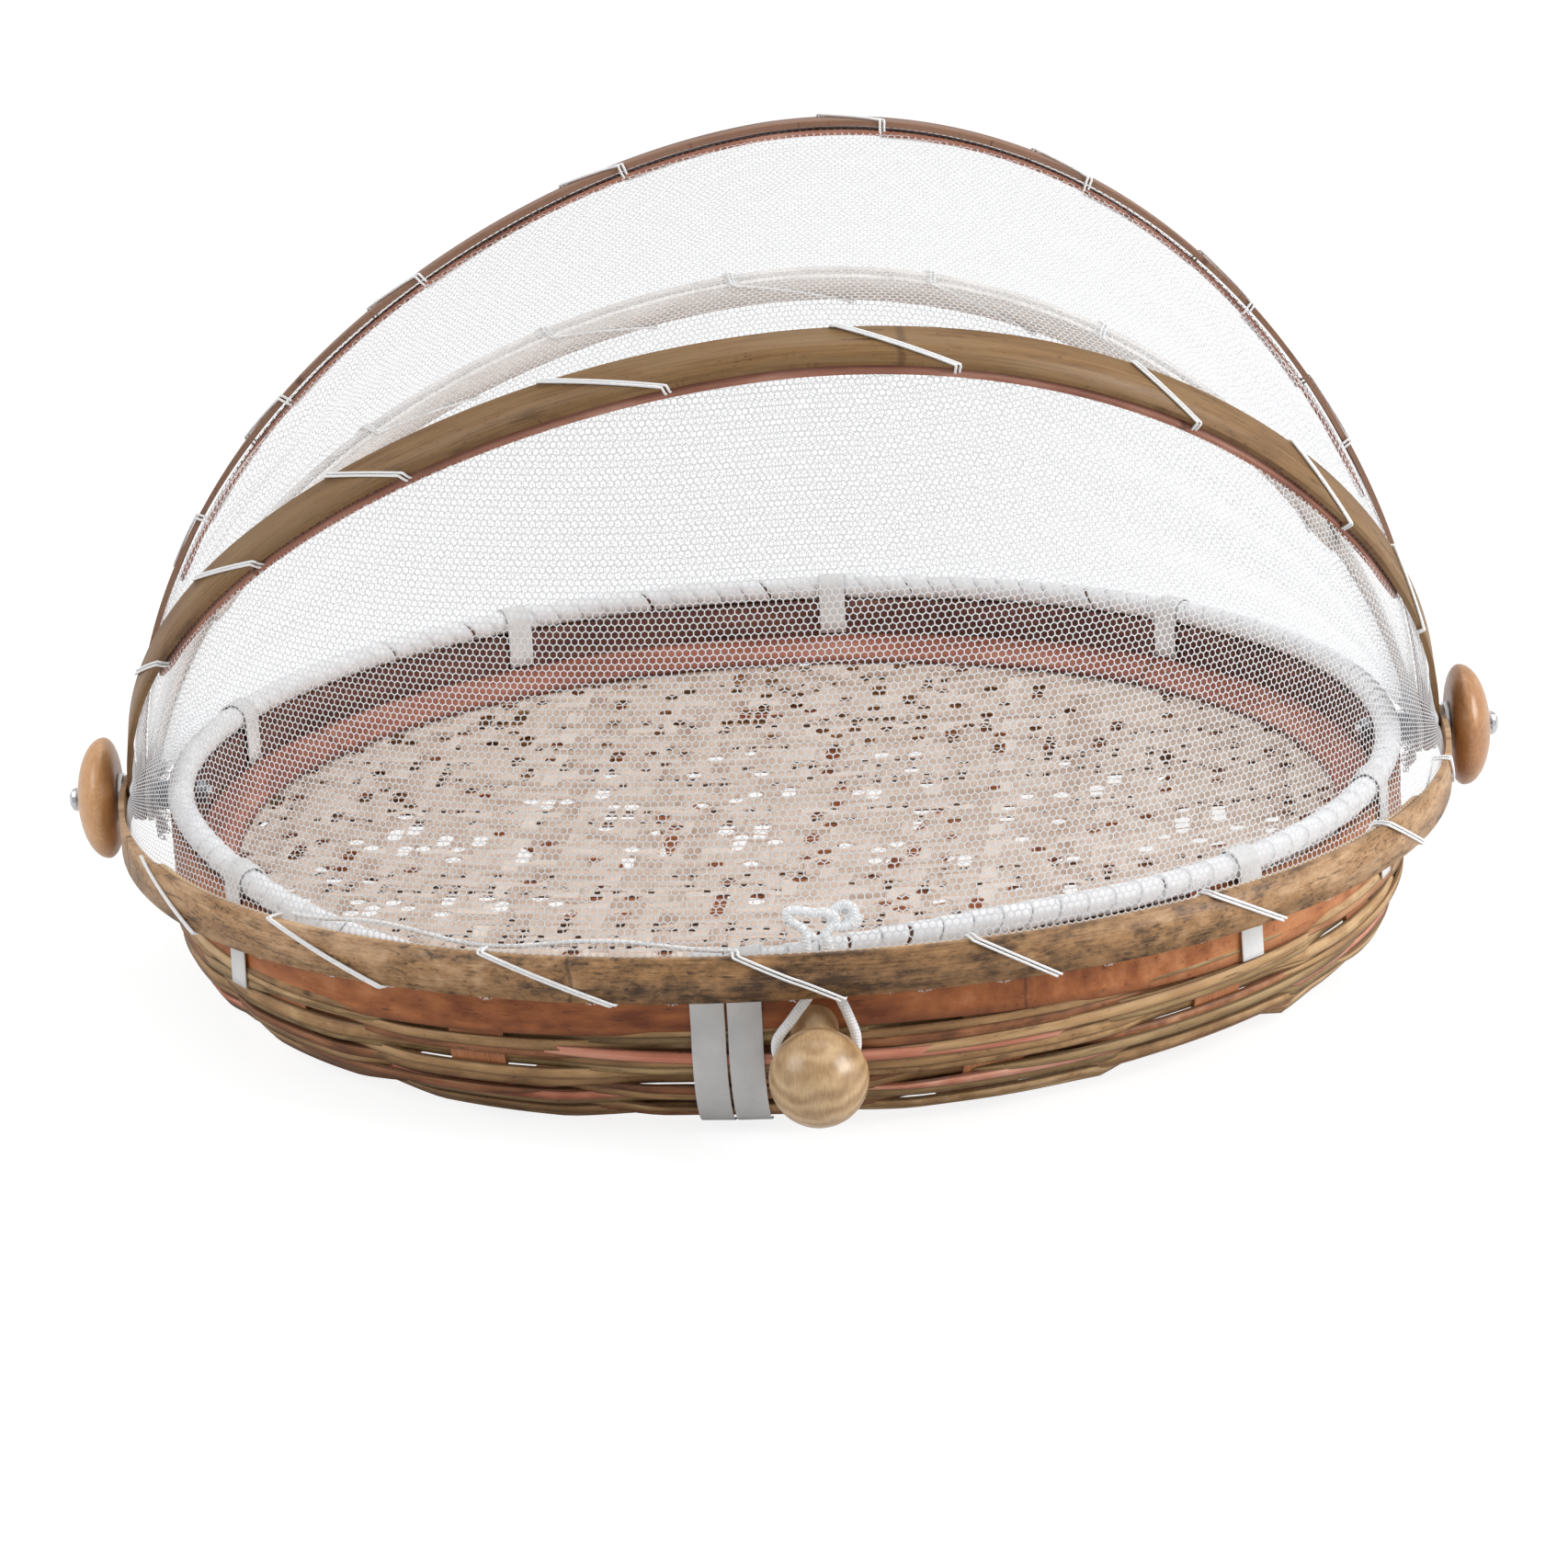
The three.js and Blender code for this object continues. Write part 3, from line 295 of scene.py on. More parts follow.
def bamboo(name, codes, stained=0.0, specks=0.0, shine=0.5, fibre=0.5, edge=0.0, node_pitch=0.0, mottled=0.0):
    """Split bamboo: the tone plus noise drawn out along the fibres plus slow blotches picks one of three
    colours or a mix. Streaks, specks, dark edges and the lines of nodes lie over it in the fourth. On the
    weavers the dark edges are painted shade where the strips lap."""
    made, tree = new_shader(name)
    *colours, stain_and_shade = codes.split()
    _, along, across = read_grain(tree)
    tone = put(tree, "Attribute", attribute_name="tone")["Fac"]
    shift = times(tree, tone, 37.0)

    def drawn_out(lengthwise, crosswise, detail, rough):
        """Noise with its own number of waves to a metre along and across the piece."""
        where = put(tree, "CombineXYZ", times(tree, along, lengthwise), times(tree, across, crosswise), shift)
        return noise(tree, where[0], 1.0, detail, rough)

    def swing(value, reach):
        """Noise moved to swing evenly about 0, times its reach."""
        return times(tree, calc(tree, "SUBTRACT", value, 0.5), reach)

    def over(colour, cover, code):
        """A second colour laid over the first, by its cover."""
        return put(tree, "Mix", cover, data_type="RGBA", named={6: colour, 7: tint(code)})[2]

    fibres = drawn_out(45.0, 2600.0, 4.0, 0.6)
    blotches = drawn_out(38.0, 170.0, 3.0, 0.55)
    slow = swing(blotches, 1.5)
    if mottled:
        slow = plus(tree, slow, swing(drawn_out(330.0, 620.0, 3.0, 0.7), mottled))
    colour = ramp(tree, plus(tree, plus(tree, swing(fibres, fibre), slow), tone), colours)
    height = times(tree, fibres, 0.7)
    if stained:
        low = 0.66 - 0.16 * stained
        streaks = spread(tree, drawn_out(75.0, 620.0, 4.0, 0.65), low, low + 0.12, 0.0, 0.85)
        patch = spread(tree, drawn_out(21.0, 60.0, 2.0, 0.5), 0.4, 0.6, 0.25, 1.0)
        colour = over(colour, times(tree, streaks, patch), stain_and_shade)
    if specks:
        low = 0.68 - 0.1 * specks
        dots = spread(tree, drawn_out(520.0, 1300.0, 2.0, 0.7), low, low + 0.08, 0.0, 0.85)
        patch = spread(tree, blotches, 0.38, 0.62, 1.0, 0.1)
        colour = over(colour, times(tree, dots, patch), stain_and_shade)
    # Dark edges in the fourth colour: on the weavers this is painted shade along the lines where the strips
    # lap over each other.
    if edge:
        border = spread(tree, calc(tree, "ABSOLUTE", across), edge * 0.72, edge, 0.0, 0.7)
        colour = over(colour, times(tree, border, plus(tree, blotches, 0.3)), stain_and_shade)
    if node_pitch:
        wobble = plus(tree, along, times(tree, blotches, 0.004))
        beat = calc(tree, "PINGPONG", plus(tree, wobble, times(tree, tone, 0.3)), node_pitch / 2)
        line = spread(tree, beat, 0.0004, 0.0014, 1.0, 0.0)
        colour = over(colour, times(tree, line, 0.55), stain_and_shade)
        height = plus(tree, height, line)
    rough = spread(tree, fibres, 0.2, 0.8, shine - 0.08, shine + 0.16)
    coat(tree, colour, rough, relief(tree, height, 0.35, 0.0004), **{"Specular IOR Level": 0.35})
    return made


def bump(turn, middle, reach):
    """A hill on the circle: the squared cosine, 1 at its middle and 0 beyond its reach, both in degrees."""
    away = ((turn - radians(middle) + pi) % (2 * pi) - pi) / radians(reach)
    return np.where(np.abs(away) < 1, np.cos(away * pi / 2) ** 2, 0)


def polar(radius, turn, height):
    """Points at a radius, a turn about the upright axis, and a height."""
    return np.stack(np.broadcast_arrays(radius * np.cos(turn), radius * np.sin(turn), height), -1)


def circle(count):
    """Equal steps once round, without the last, which is the first again."""
    return np.linspace(0, 2 * pi, count, endpoint=False)


def closed(values):
    """A ring of values with the first one again at its end."""
    return np.append(values, values[0])


def grain_map(along, across):
    """Metres along the piece for each row, with metres across it for each column."""
    return np.stack(np.meshgrid(along, across, indexing="ij"), -1)


def run_length(points, power=1.0):
    """The way from the first point to each one: the sum of the steps, each raised to the power."""
    return np.concatenate([[0], np.cumsum(np.linalg.norm(np.diff(points, axis=0), axis=1) ** power)])


def box_section(width, thickness, edge, steps=2):
    """A rectangle round the origin whose corners are quarter circles of the edge's radius."""
    corners = []
    for k, (x, y) in enumerate(((1, 1), (-1, 1), (-1, -1), (1, -1))):
        for i in range(steps + 1):
            turn = (k + i / steps) * pi / 2
            corners.append((x * (width / 2 - edge) + edge * cos(turn),
                            y * (thickness / 2 - edge) + edge * sin(turn)))
    return np.array(corners)


def wall_curve(down):
    """Radius and height on the wall's middle, and its direction, so many metres down from the top. The wall
    is a cubic Bezier curve, with its four points weighted by 1, 3, 3, 1 times powers of the two shares."""
    share = np.linspace(0, 1, 400)
    points = np.array([(0.138, 0.0005), (0.152, 0.0005), (0.1641, 0.014), (0.1591, 0.0308)])
    weights = np.stack([(1 - share) ** 3, 3 * share * (1 - share) ** 2, 3 * share ** 2 * (1 - share),
                        share ** 3], -1)
    line = (weights @ points)[::-1]
    length = run_length(line)
    place, ahead = (np.stack([np.interp(at, length, line[:, k]) for k in (0, 1)], -1)
                    for at in (down, down + 0.0005))
    fall = ahead - place
    return place, fall / np.linalg.norm(fall, axis=-1, keepdims=True)


def wall_strip(turn, down, width, offset, tilt):
    """A thin strip round the wall: its section is carried along at its depth below the top, pushed out by the
    offset and leaning out by the tilt."""
    place, fall = wall_curve(np.clip(down, 0.0002, None))
    section = box_section(1, 0.0008, 0.0002)
    across = section[:, 0] * width[:, None]
    outward = offset[:, None] + section[:, 1] + across * tilt[:, None]
    radius = place[:, :1] + across * fall[:, :1] - outward * fall[:, 1:]
    height = place[:, 1:] + across * fall[:, 1:] + outward * fall[:, :1]
    return polar(radius, turn[:, None], np.maximum(height, 0.0004)), closed(section[:, 0]) * 0.003


wall_radius = 0.159
first_row = 0.0012
row_step = 0.00189
weaver_width = 0.0025
stake_swing = 0.00125
right_front = -36
left_front = -140
corner_reach = 62
# The weavers' dark edges (edge) are painted shade for the dark lines between the lapping strips.
weaver_shaders = {
    kind: bamboo(f"{kind}_weavers", codes, stained=stained, specks=specks, fibre=0.7, edge=0.0015)
    for kind, codes, stained, specks in (
        ("tan", "7a5838 b08a5e d9b88c 3a2618", 0.35, 0.4),
        ("olive", "5f4a2c 957850 bfa276 3a2618", 0.6, 0.5),
        ("brown", "56351f 935f3d c08c64 3a2618", 0.4, 0.3),
        ("rosy", "8a4836 c67d62 e0a78f 3a2618", 0.0, 0.2),
    )}
luck = np.random.default_rng(11)
kinds = "tan olive tan brown tan olive tan tan brown tan rosy olive tan brown tan tan".split()
turn = circle(288)
right = bump(turn, right_front - basket_angle, corner_reach)
left = bump(turn, left_front - basket_angle, corner_reach)
for count, kind in enumerate(kinds):
    low = count / (len(kinds) - 1)
    waves = (luck.normal(0, 1) / k * np.cos(k * turn + luck.uniform(0, 6.28)) for k in range(2, 7))
    sway = 0.00045 * sum(waves)
    down = first_row + row_step * count + sway - 0.0032 * low * right + 0.004 * (1 - low) * left
    width = weaver_width * (1 + 0.14 * np.cos(5 * turn + luck.uniform(0, 6.28)) + 0.08 * luck.normal())
    for _ in range(6 if low > 0.5 else 0):
        width *= 1 - 0.45 * bump(turn, degrees(luck.uniform(0, 6.28)), 9)
    side = np.clip(1.7 * np.cos(8 * turn), -1, 1) * (-1) ** (count // 2)
    offset = stake_swing * side + 0.0024 * low * right * (1 - np.abs(side)) + 0.0006 * low * right
    tilt = 0.3 + 0.14 * np.cos(2 * turn + luck.uniform(0, 6.28))
    points, across = wall_strip(turn + basket_turn, down, width, offset, tilt)
    along = np.append(turn, 2 * pi) * wall_radius + luck.uniform(0, 9)
    tone = luck.uniform(0.3, 0.62) + 0.14 * np.cos(3 * turn + luck.uniform(0, 6.28))
    # Painted light and shade: the tone is raised at the right front, where more light falls, and lowered at
    # the left front, which lies in shade.
    tone += 0.2 * right - 0.07 * left
    piece = skin(f"weaver_{count + 1}", points, grain_map(along, across), "ring", tone=tone[:, None])
    replaced = [f"weaver_row_{count // 2 + 1}"] if count in range(0, 14, 2) else []
    dress(piece, weaver_shaders[kind], "weaver", *replaced)

# Spliced ends: short strips of the same bamboo, pushed in where a weaver runs out. Each starts between two
# rows, slants across the weave and tapers away again.
for count in range(16):
    kind = ("tan", "olive", "tan", "brown", "rosy", "tan", "olive", "tan")[count % 8]
    middle = radians(luck.uniform(-16, 16) + count * 22.5 - 8)
    reach = radians(luck.uniform(14, 30))
    turn = np.linspace(middle - reach, middle + reach, 90)
    share = np.linspace(-1, 1, 90)
    slant = luck.uniform(0.001, 0.0022) * luck.choice([-1, 1])
    down = luck.uniform(0.006, 0.024) + slant * share
    width = 0.0024 * np.sqrt(np.clip(1 - np.abs(share) ** 3, 0, 1)) + 0.0003
    right = bump(turn, right_front, corner_reach)
    offset = 0.0014 - 0.0016 * np.abs(share) ** 6 + 0.0022 * right * (down / 0.03)
    points, across = wall_strip(turn, down, width, offset, np.full(90, 0.15))
    grain = grain_map(turn * wall_radius + luck.uniform(0, 9), across)
    piece = skin(f"spliced_end_{count + 1}", points, grain, "rod", tone=luck.uniform(0.35, 0.7))
    dress(piece, weaver_shaders[kind], "weaver")


# Bands: two wide strips of bamboo, bent round the top of the wall, one outside and one inside, with the
# stakes' ends held between them. Their tops follow the rim, which is warped.
def rim_height(turn):
    """The rim's middle: level, less a shallow hollow at the right front and a deep one at the left front."""
    return 0.0506 - 0.0024 * bump(turn, -42, 60) - 0.0108 * bump(turn, -116, 50)


whole_turns = np.linspace(0, 2 * pi, 321)
ring_turns = whole_turns[:-1]
band_thickness = 0.0016
# Painted light and shade on both bands: darker from the left front to the middle of the front, which lie in
# shade, and paler at the right front, where the light falls.
band_light_and_shade = 0.48 - 0.24 * bump(ring_turns, -95, 50) + 0.26 * bump(ring_turns, -42, 40)


def band(name, shader, slot, inside, bottom, replaced):
    """A ring whose section fills the space from the bottom line up to just below the rim's middle."""
    section = box_section(1, 1, 0.1, 3)
    radius = inside + band_thickness * (0.5 + section[:, 1])
    top = rim_height(ring_turns) - 0.0036
    height = bottom[:, None] + (top - bottom)[:, None] * (0.5 + section[:, 0])
    grain = grain_map(whole_turns * 0.16, closed(section[:, 0]) * 0.014)
    piece = skin(name, polar(radius, ring_turns[:, None], height), grain, "ring", tone=band_light_and_shade[:, None])
    dress(piece, shader, slot, replaced)


low_edge = 0.0283 - 0.0037 * bump(ring_turns, -45, 42) - 0.0048 * bump(ring_turns, -146, 62)
outer_shader = bamboo("outer_band", "743b1c ab6638 d39160 4a2616", stained=0.35, specks=0.6,
                      fibre=0.35, edge=0.007, node_pitch=0.31)
# The inner band's colours are dark as painted shade for its place in the shadow under the rim.
inner_shader = bamboo("inner_band", "2e1813 5e382d 875c4e 1e0f0b", stained=0.4, specks=0.5,
                      shine=0.55, node_pitch=0.24)
band("band_outside", outer_shader, "band_outer", 0.1599, low_edge, "outer_band")
band("band_inside", inner_shader, "band_inner", 0.1555, np.full(320, 0.0336), "inner_band")

# Mat ring: a narrower flat strip of reddish bamboo, bent round the edge of the mat and pressed in against the
# inner band, so that it leans. It is a little wavy.
section = box_section(0.0125, 0.0014, 0.0004)
lean_out, lean_up = np.array([0.0109, 0.0056]) / np.hypot(0.0109, 0.0056)
wave = 0.00015 * np.cos(7 * ring_turns) + 0.0001 * np.cos(13 * ring_turns + 1)
radius = 0.1497 + section[:, 0] * 0.93 * lean_out - section[:, 1] * lean_up
height = 0.0341 + section[:, 0] * 0.93 * lean_up + section[:, 1] * lean_out + wave[:, None]
ledge = skin("mat_edge_ring", polar(radius, ring_turns[:, None], height),
             grain_map(whole_turns * 0.15, closed(section[:, 0])), "ring", tone=0.5)
ledge_shader = bamboo("mat_edge_ring", "6c3a2e 9d5f4c bd8875 3c1d16", stained=0.3, specks=0.4,
                      shine=0.55, edge=0.0062, node_pitch=0.27)
dress(ledge, ledge_shader, "mat_ring", "mat_ring")

# Mat: pale bamboo splints in a two-over, two-under twill. The corners between four splints stay open here and
# there, and smaller openings show the dark splints that are laid in rows under the weave.
splint_shader = bamboo("mat_splints", "a78b77 cdb8a8 e2d2c5 84593d", stained=0.25, shine=0.6)
dark_splint_shader = bamboo("dark_splints", "2a1a12 4c311f 6f4d34 3a2618", specks=0.2, shine=0.6)
pitch = 0.00465
reach = 31
mat_radius = 0.1525
dish_radius = 0.144
lines = np.arange(-reach, reach + 1)
luck = np.random.default_rng(5)
slow = np.cos(lines[:-1] * 0.35 + 0.4)[:, None] + np.cos(lines[:-1] * 0.21 - 1.0)
opened = luck.random((2 * reach, 2 * reach)) < 0.18 + 0.04 * np.clip(slow, 0, 2)
opened[:, 1:] &= ~opened[:, :-1]
opened |= np.roll(opened, 1, axis=0) & (luck.random(opened.shape) < 0.22)
dark_rows = luck.choice(np.arange(2, 2 * reach - 2), 19, replace=False)
opened[dark_rows] = False
dotted = np.zeros_like(opened)
dotted[dark_rows] = luck.random((len(dark_rows), 2 * reach)) < 0.4
wide_gaps, dot_gaps, tight_gaps = (luck.uniform(*limits, opened.shape) for limits in (
    (0.0018, 0.0024), (0.0009, 0.0013), (0.00002, 0.0001)))
gap_size = np.where(opened, wide_gaps, np.where(dotted, dot_gaps, tight_gaps))


def mat_height(radius):
    """The mat's height: a shallow parabola out to the dish's radius, and a slope that rises beyond it."""
    return (0.0302 - 0.004 * (1 - np.minimum(radius / dish_radius, 1) ** 2)
            + 0.23 * np.maximum(radius - dish_radius, 0))


def spin(points):
    """The points turned about the upright axis by the basket's own turn."""
    x, y, z = np.moveaxis(points, -1, 0)
    ahead, aside = cos(basket_turn), sin(basket_turn)
    return np.stack([x * ahead - y * aside, x * aside + y * ahead, z], -1)


for crosswise, name, recess in ((False, "mat_splints_across", 1.08), (True, "mat_splints_deep", 0.88)):
    patches = []
    tones = []
    grains = []
    gaps = gap_size.T if crosswise else gap_size
    for line in lines:
        half = sqrt(max(mat_radius ** 2 - (line * pitch) ** 2, 0))
        first = max(-reach, ceil(-half / pitch))
        last = min(reach, floor(half / pitch))
        if last - first < 2:
            continue
        steps = np.repeat(lines, 2)
        nudge = np.tile((-0.2, 0.2), len(lines))
        along = np.clip(steps + nudge, first - 0.2, last + 0.2) * pitch + 1e-7 * np.arange(len(steps))
        over = np.where((line + steps) % 4 < 2, 1, -1) * (-1 if crosswise else 1)
        corner = np.clip(steps + reach - (nudge < 0), 0, 2 * reach - 1)
        before, mine = np.clip((line + reach - 1, line + reach), 0, 2 * reach - 1)
        left = pitch / 2 - gaps[before, corner] * recess
        right = pitch / 2 - gaps[mine, corner] * recess
        middle = line * pitch + 0.00012 * np.cos(along * 55 + line)
        corners = []
        for side, face in ((1, 1), (0.86, 1.12), (-0.86, 1.12), (-1, 1), (-1, -1), (1, -1)):
            cross = middle + side * (right if side > 0 else left)
            x, y = (cross, along) if crosswise else (along, cross)
            corners.append(np.stack([x, y, mat_height(np.hypot(x, y)) + over * 0.00012 + 0.00009 * face], -1))
        patches.append(np.stack(corners, 1))
        tones.append(np.full((len(along), 6), np.clip(luck.normal(0.52, 0.16), 0.15, 0.95)))
        across = np.array([1, 0.86, -0.86, -1, -1, 1, 1]) * 0.0022
        grains.append(grain_map(along + luck.uniform(0, 5), across))
    piece = skin(name, spin(np.array(patches)), np.array(grains), "rod",
                 tone=np.array(tones), smooth=False)
    dress(piece, splint_shader, "mat", *([] if crosswise else ["woven_mat"]))

# Mat edge: the outermost splints are turned up and held between the inner band and the stakes. Only their top
# shows, as a pale line inside the rim.
top = rim_height(ring_turns) - 0.0042
profile = ((0.1495, 0.0302), (0.1545, 0.0316), (0.1572, 0.0322), (0.1576, 0.034), (0.1577, top),
           (0.1581, top), (0.1581, 0.0336), (0.1545, 0.0311), (0.1495, 0.0297))
edge_points = np.stack([polar(radius, ring_turns, height) for radius, height in profile], 1)
mat_edge = skin("mat_upturned_edge", edge_points, grain_map(whole_turns * 0.157, np.arange(10) * 0.003),
                "ring", tone=0.4)
dress(mat_edge, splint_shader, "mat")

# Dark splints: single strips of dark bamboo, laid under the weave between two of its rows. They show in its
# small openings as rows of dots.
dark_lines = []
dark_grains = []
for row in dark_rows:
    cross = (row - reach + 0.5) * pitch
    half = sqrt(0.141 ** 2 - cross ** 2) * luck.uniform(0.85, 1)
    along = np.linspace(-half, half, 60)
    corners = [np.stack([along, np.full(60, cross + side * 0.0021),
                         mat_height(np.hypot(along, cross)) - 0.0005 + face * 0.0001], -1)
               for side, face in ((1, 1), (-1, 1), (-1, -1), (1, -1))]
    dark_lines.append(np.stack(corners, 1))
    dark_grains.append(grain_map(along, np.array([1, -1, -1, 1, 1]) * 0.002))
under = skin("dark_splints", spin(np.array(dark_lines)), np.array(dark_grains), "rod",
             tone=0.5, smooth=False)
dress(under, dark_splint_shader, "mat")


# Rim: a core hoop of bamboo lies on the bands, and a white plastic ribbon is wound round and round it. Each
# turn laps over the last, and where two turns part the dark core shows.
def ribbon(name, colour, shine, crease=0.25):
    """White plastic: one colour with faint dirt, and noise drawn out along the ribbon for its creases."""
    made, tree = new_shader(name)
    grain, along, across = read_grain(tree)
    where = put(tree, "CombineXYZ", times(tree, along, 60.0), times(tree, across, 900.0), 0.0)[0]
    creases = noise(tree, where, 1.0, 3.0, 0.5)
    dirt = spread(tree, noise(tree, grain, 90.0, 3.0, 0.6), 0.35, 0.7, 1.0, 0.86)
    grey = put(tree, "CombineColor", dirt, dirt, dirt)[0]
    mixed = put(tree, "Mix", 1.0, data_type="RGBA", blend_type="MULTIPLY", named={6: tint(colour), 7: grey})
    rough = spread(tree, creases, 0.3, 0.7, shine - 0.06, shine + 0.1)
    coat(tree, mixed[2], rough, relief(tree, creases, crease, 0.0003),
         **{"Subsurface Weight": 0.05, "Subsurface Radius": (0.002, 0.002, 0.002)})
    return made


rim_radius = 0.1584
core_radius = 0.0026
wrap_radius = 0.0031
wraps = 138
around = circle(12)
core = skin("rim_core_hoop",
            polar(rim_radius + core_radius * np.cos(around), ring_turns[:, None],
                  rim_height(ring_turns)[:, None] + core_radius * np.sin(around)),
            grain_map(whole_turns * 0.158, np.linspace(0, 0.016, 13)), "ring", tone=0.4)
dress(core, bamboo("rim_core", "3a241a 6b4630 94694a 3a2618", stained=0.3), "core", "rim_core")

luck = np.random.default_rng(3)
parted = luck.random(wraps) < 0.22
parting = np.where(parted, luck.uniform(0.07, 0.16, wraps), luck.uniform(0.02, 0.035, wraps))
depth = np.where(parted, 0.0013, 0.0006)
zero = np.zeros(wraps)
phases = [zero, zero + 0.03, zero + 0.35, zero + 0.7, 1 - parting - 0.02, 1 - parting, zero + 0.985]
lifts = [zero + 0.00032, zero + 0.00034, zero + 0.00022, zero + 0.0001, zero, -depth, -depth]
stations = (np.arange(wraps)[:, None] + np.stack(phases, 1)).ravel()
around = circle(20)
turn = (stations[:, None] + 0.3 * np.cos(around - 0.9)) * 2 * pi / wraps
bulge = wrap_radius + np.stack(lifts, 1).reshape(-1, 1)
points = polar(rim_radius + bulge * np.cos(around), turn, rim_height(turn) + bulge * np.sin(around))
grain = grain_map(np.append(around, 2 * pi) * 0.0032, np.append(stations, wraps) / wraps).swapaxes(0, 1)
rim = skin("rim_ribbon", points, grain, "ring")
dress(rim, ribbon("rim_ribbon", "ecedef", 0.36), "ribbon", "rim_wrap")

# Straps: short lengths of the same ribbon, tied over the rim and the bands in seven places. At the front two
# wider ones lie side by side and run on down the wall to the edge of the bottom.
strap_width = 0.0075
front_strap_width = 0.0081
front_strap_shift = 0.00435
strap_thickness = 0.0005
strap_face = 0.16235
arch_radius = 0.00401


def strap_points(turn, width, shift, line):
    """A ribbon at one turn of the rim: its flat section is carried along a line of radius and height, which
    is smoothed three times by the mean of neighbours. Where the line says so, it follows the rim's rise."""
    line = np.array(line)
    fine = np.linspace(0, len(line) - 1, len(line) * 4 - 3)
    radius, height, follow = (np.interp(fine, np.arange(len(line)), column) for column in line.T)
    for _ in range(3):
        for column in (radius, height):
            column[1:-1] = (column[:-2] + 2 * column[1:-1] + column[2:]) / 4
    climb = np.arctan2(np.gradient(height), np.gradient(radius))[:, None]
    section = box_section(width, strap_thickness, 0.0002)
    edge = turn + (shift + section[:, 0]) / radius[:, None]
    lift = follow[:, None] * (rim_height(edge) - rim_height(turn))
    points = polar(radius[:, None] - section[:, 1] * np.sin(climb), edge,
                   height[:, None] + lift + section[:, 1] * np.cos(climb))
    return points, grain_map(run_length(np.stack([radius, height], -1)), closed(section[:, 0]))


def arch(turn):
    """The strap's way from inside the wall over the rim, in a half circle that clears the ribbon."""
    ring = [(rim_radius + arch_radius * cos(a), float(rim_height(turn)) + arch_radius * sin(a), 1)
            for a in np.linspace(pi, 0, 9)]
    return [(rim_radius - arch_radius, 0.0378, 0)] + ring


strap_shader = ribbon("straps", "e2e2e1", 0.42, 0.35)
for number, angle in enumerate((-148, -47.4, -22.5, 43.9, 83.7, 119, 160.4)):
    end = 0.0207 if angle == -148 else 0.0252
    outside = [(strap_face, 0.038, 0), (0.1624, 0.031, 0), (0.1627, end, 0)]
    points, grain = strap_points(radians(angle), strap_width, 0, arch(radians(angle)) + outside)
    strap = skin(f"strap_{number + 1}", points, grain, "rod")
    dress(strap, strap_shader, "ribbon", f"rim_strap_{number + 1}")

# The front straps get a darker grey than the other straps: painted shade for the front of the basket, which
# gets little light.
shaded_front_strap_shader = ribbon("front_straps_shaded", "d0d0d0", 0.42, 0.35)
front_turn = basket_turn - pi / 2
down = np.append(np.linspace(0.0015, 0.0262, 7), (0.0285, 0.0305, 0.0325))
stand = np.append(np.full(7, 0.0025), (0.0021, 0.0016, 0.0011))
drop, fall = wall_curve(down)
run = np.stack([drop[:, 0] - stand * fall[:, 1], drop[:, 1] + stand * fall[:, 0], np.zeros(10)], -1).tolist()
way = arch(front_turn) + [(strap_face, 0.0335, 0)] + run
for side, label in ((-1, "left"), (1, "right")):
    points, grain = strap_points(front_turn, front_strap_width, side * front_strap_shift, way)
    strap = skin(f"front_strap_{label}_ribbon", points, grain, "rod")
    dress(strap, shaded_front_strap_shader, "ribbon", f"front_strap_{label}")

# Hoops: four strips of split bamboo bent from pivot to pivot, skin side out, each with a redder strip inside
# it. The net is held between the two. Each hoop has its tilt, half span, reach, skew and fullness.
pivot_height = 0.045
hoop_width = 0.0107
hoop_thickness = 0.0014
lining_width = 0.0096
lining_thickness = 0.0012
lining_depth = 0.00235
hoops = {
    "front": (radians(0), 0.1735, 0.1717, 0, 1.06),
    "mid": (radians(50), 0.1716, 0.1735, 0.103, 0.97),
    "top": (radians(92.5), 0.1697, 0.1666, 0.117, 0.965),
    "back": (radians(142.5), 0.1678, 0.1676, 0.086, 0.965),
}


def hoop_line(name, t, depth=0.0, side=0.0):
    """A hoop's middle at the angle t from its right end: the span times the cosine and the reach times the
    sine, each to the power of one over the fullness, a little skewed, drawn inwards by the depth and moved
    across by the side. Past either end it runs on straight."""
    angle, span, reach, skew, full = hoops[name]
    inner = np.clip(t, 0, pi)
    beside, ahead = np.cos(inner), np.sin(inner)
    out = reach * ahead ** (1 / full) * (1 + skew * beside * ahead) - ahead * depth
    wide = span * np.sign(beside) * np.abs(beside) ** (1 / full) - beside * depth
    out = out + np.where(t < 0, t, 0) * span + np.where(t > pi, pi - t, 0) * span
    return np.stack(np.broadcast_arrays(
        wide, -cos(angle) * out + sin(angle) * side, pivot_height + sin(angle) * out + cos(angle) * side), -1)


def hoop_strip(name, t, depth, thickness, width, crown=0.0, side=0.0):
    """A flat strip along a hoop's line: its section is carried square to the line, and its outer face bows
    out in a parabola as high as the crown."""
    middle = hoop_line(name, t, depth, side)
    ahead = np.gradient(middle, axis=0)
    ahead /= np.linalg.norm(ahead, axis=1, keepdims=True)
    angle = hoops[name][0]
    across = np.array([0, sin(angle), cos(angle)])
    through = np.cross(ahead, across)
    outward = middle - hoop_line(name, t, depth + 0.001, side)
    through *= np.sign(np.sum(through * outward, axis=1, keepdims=True))
    section = box_section(1, thickness, 0.0004, 3)
    bow = crown * (1 - 4 * section[:, 0] ** 2) * (section[:, 1] > 0)
    points = (middle[:, None] + across * (section[:, :1] * width[:, None, None])
              + through[:, None] * (section[:, 1:] + bow[:, None]))
    return points, grain_map(run_length(middle), closed(section[:, 0]) * hoop_width)


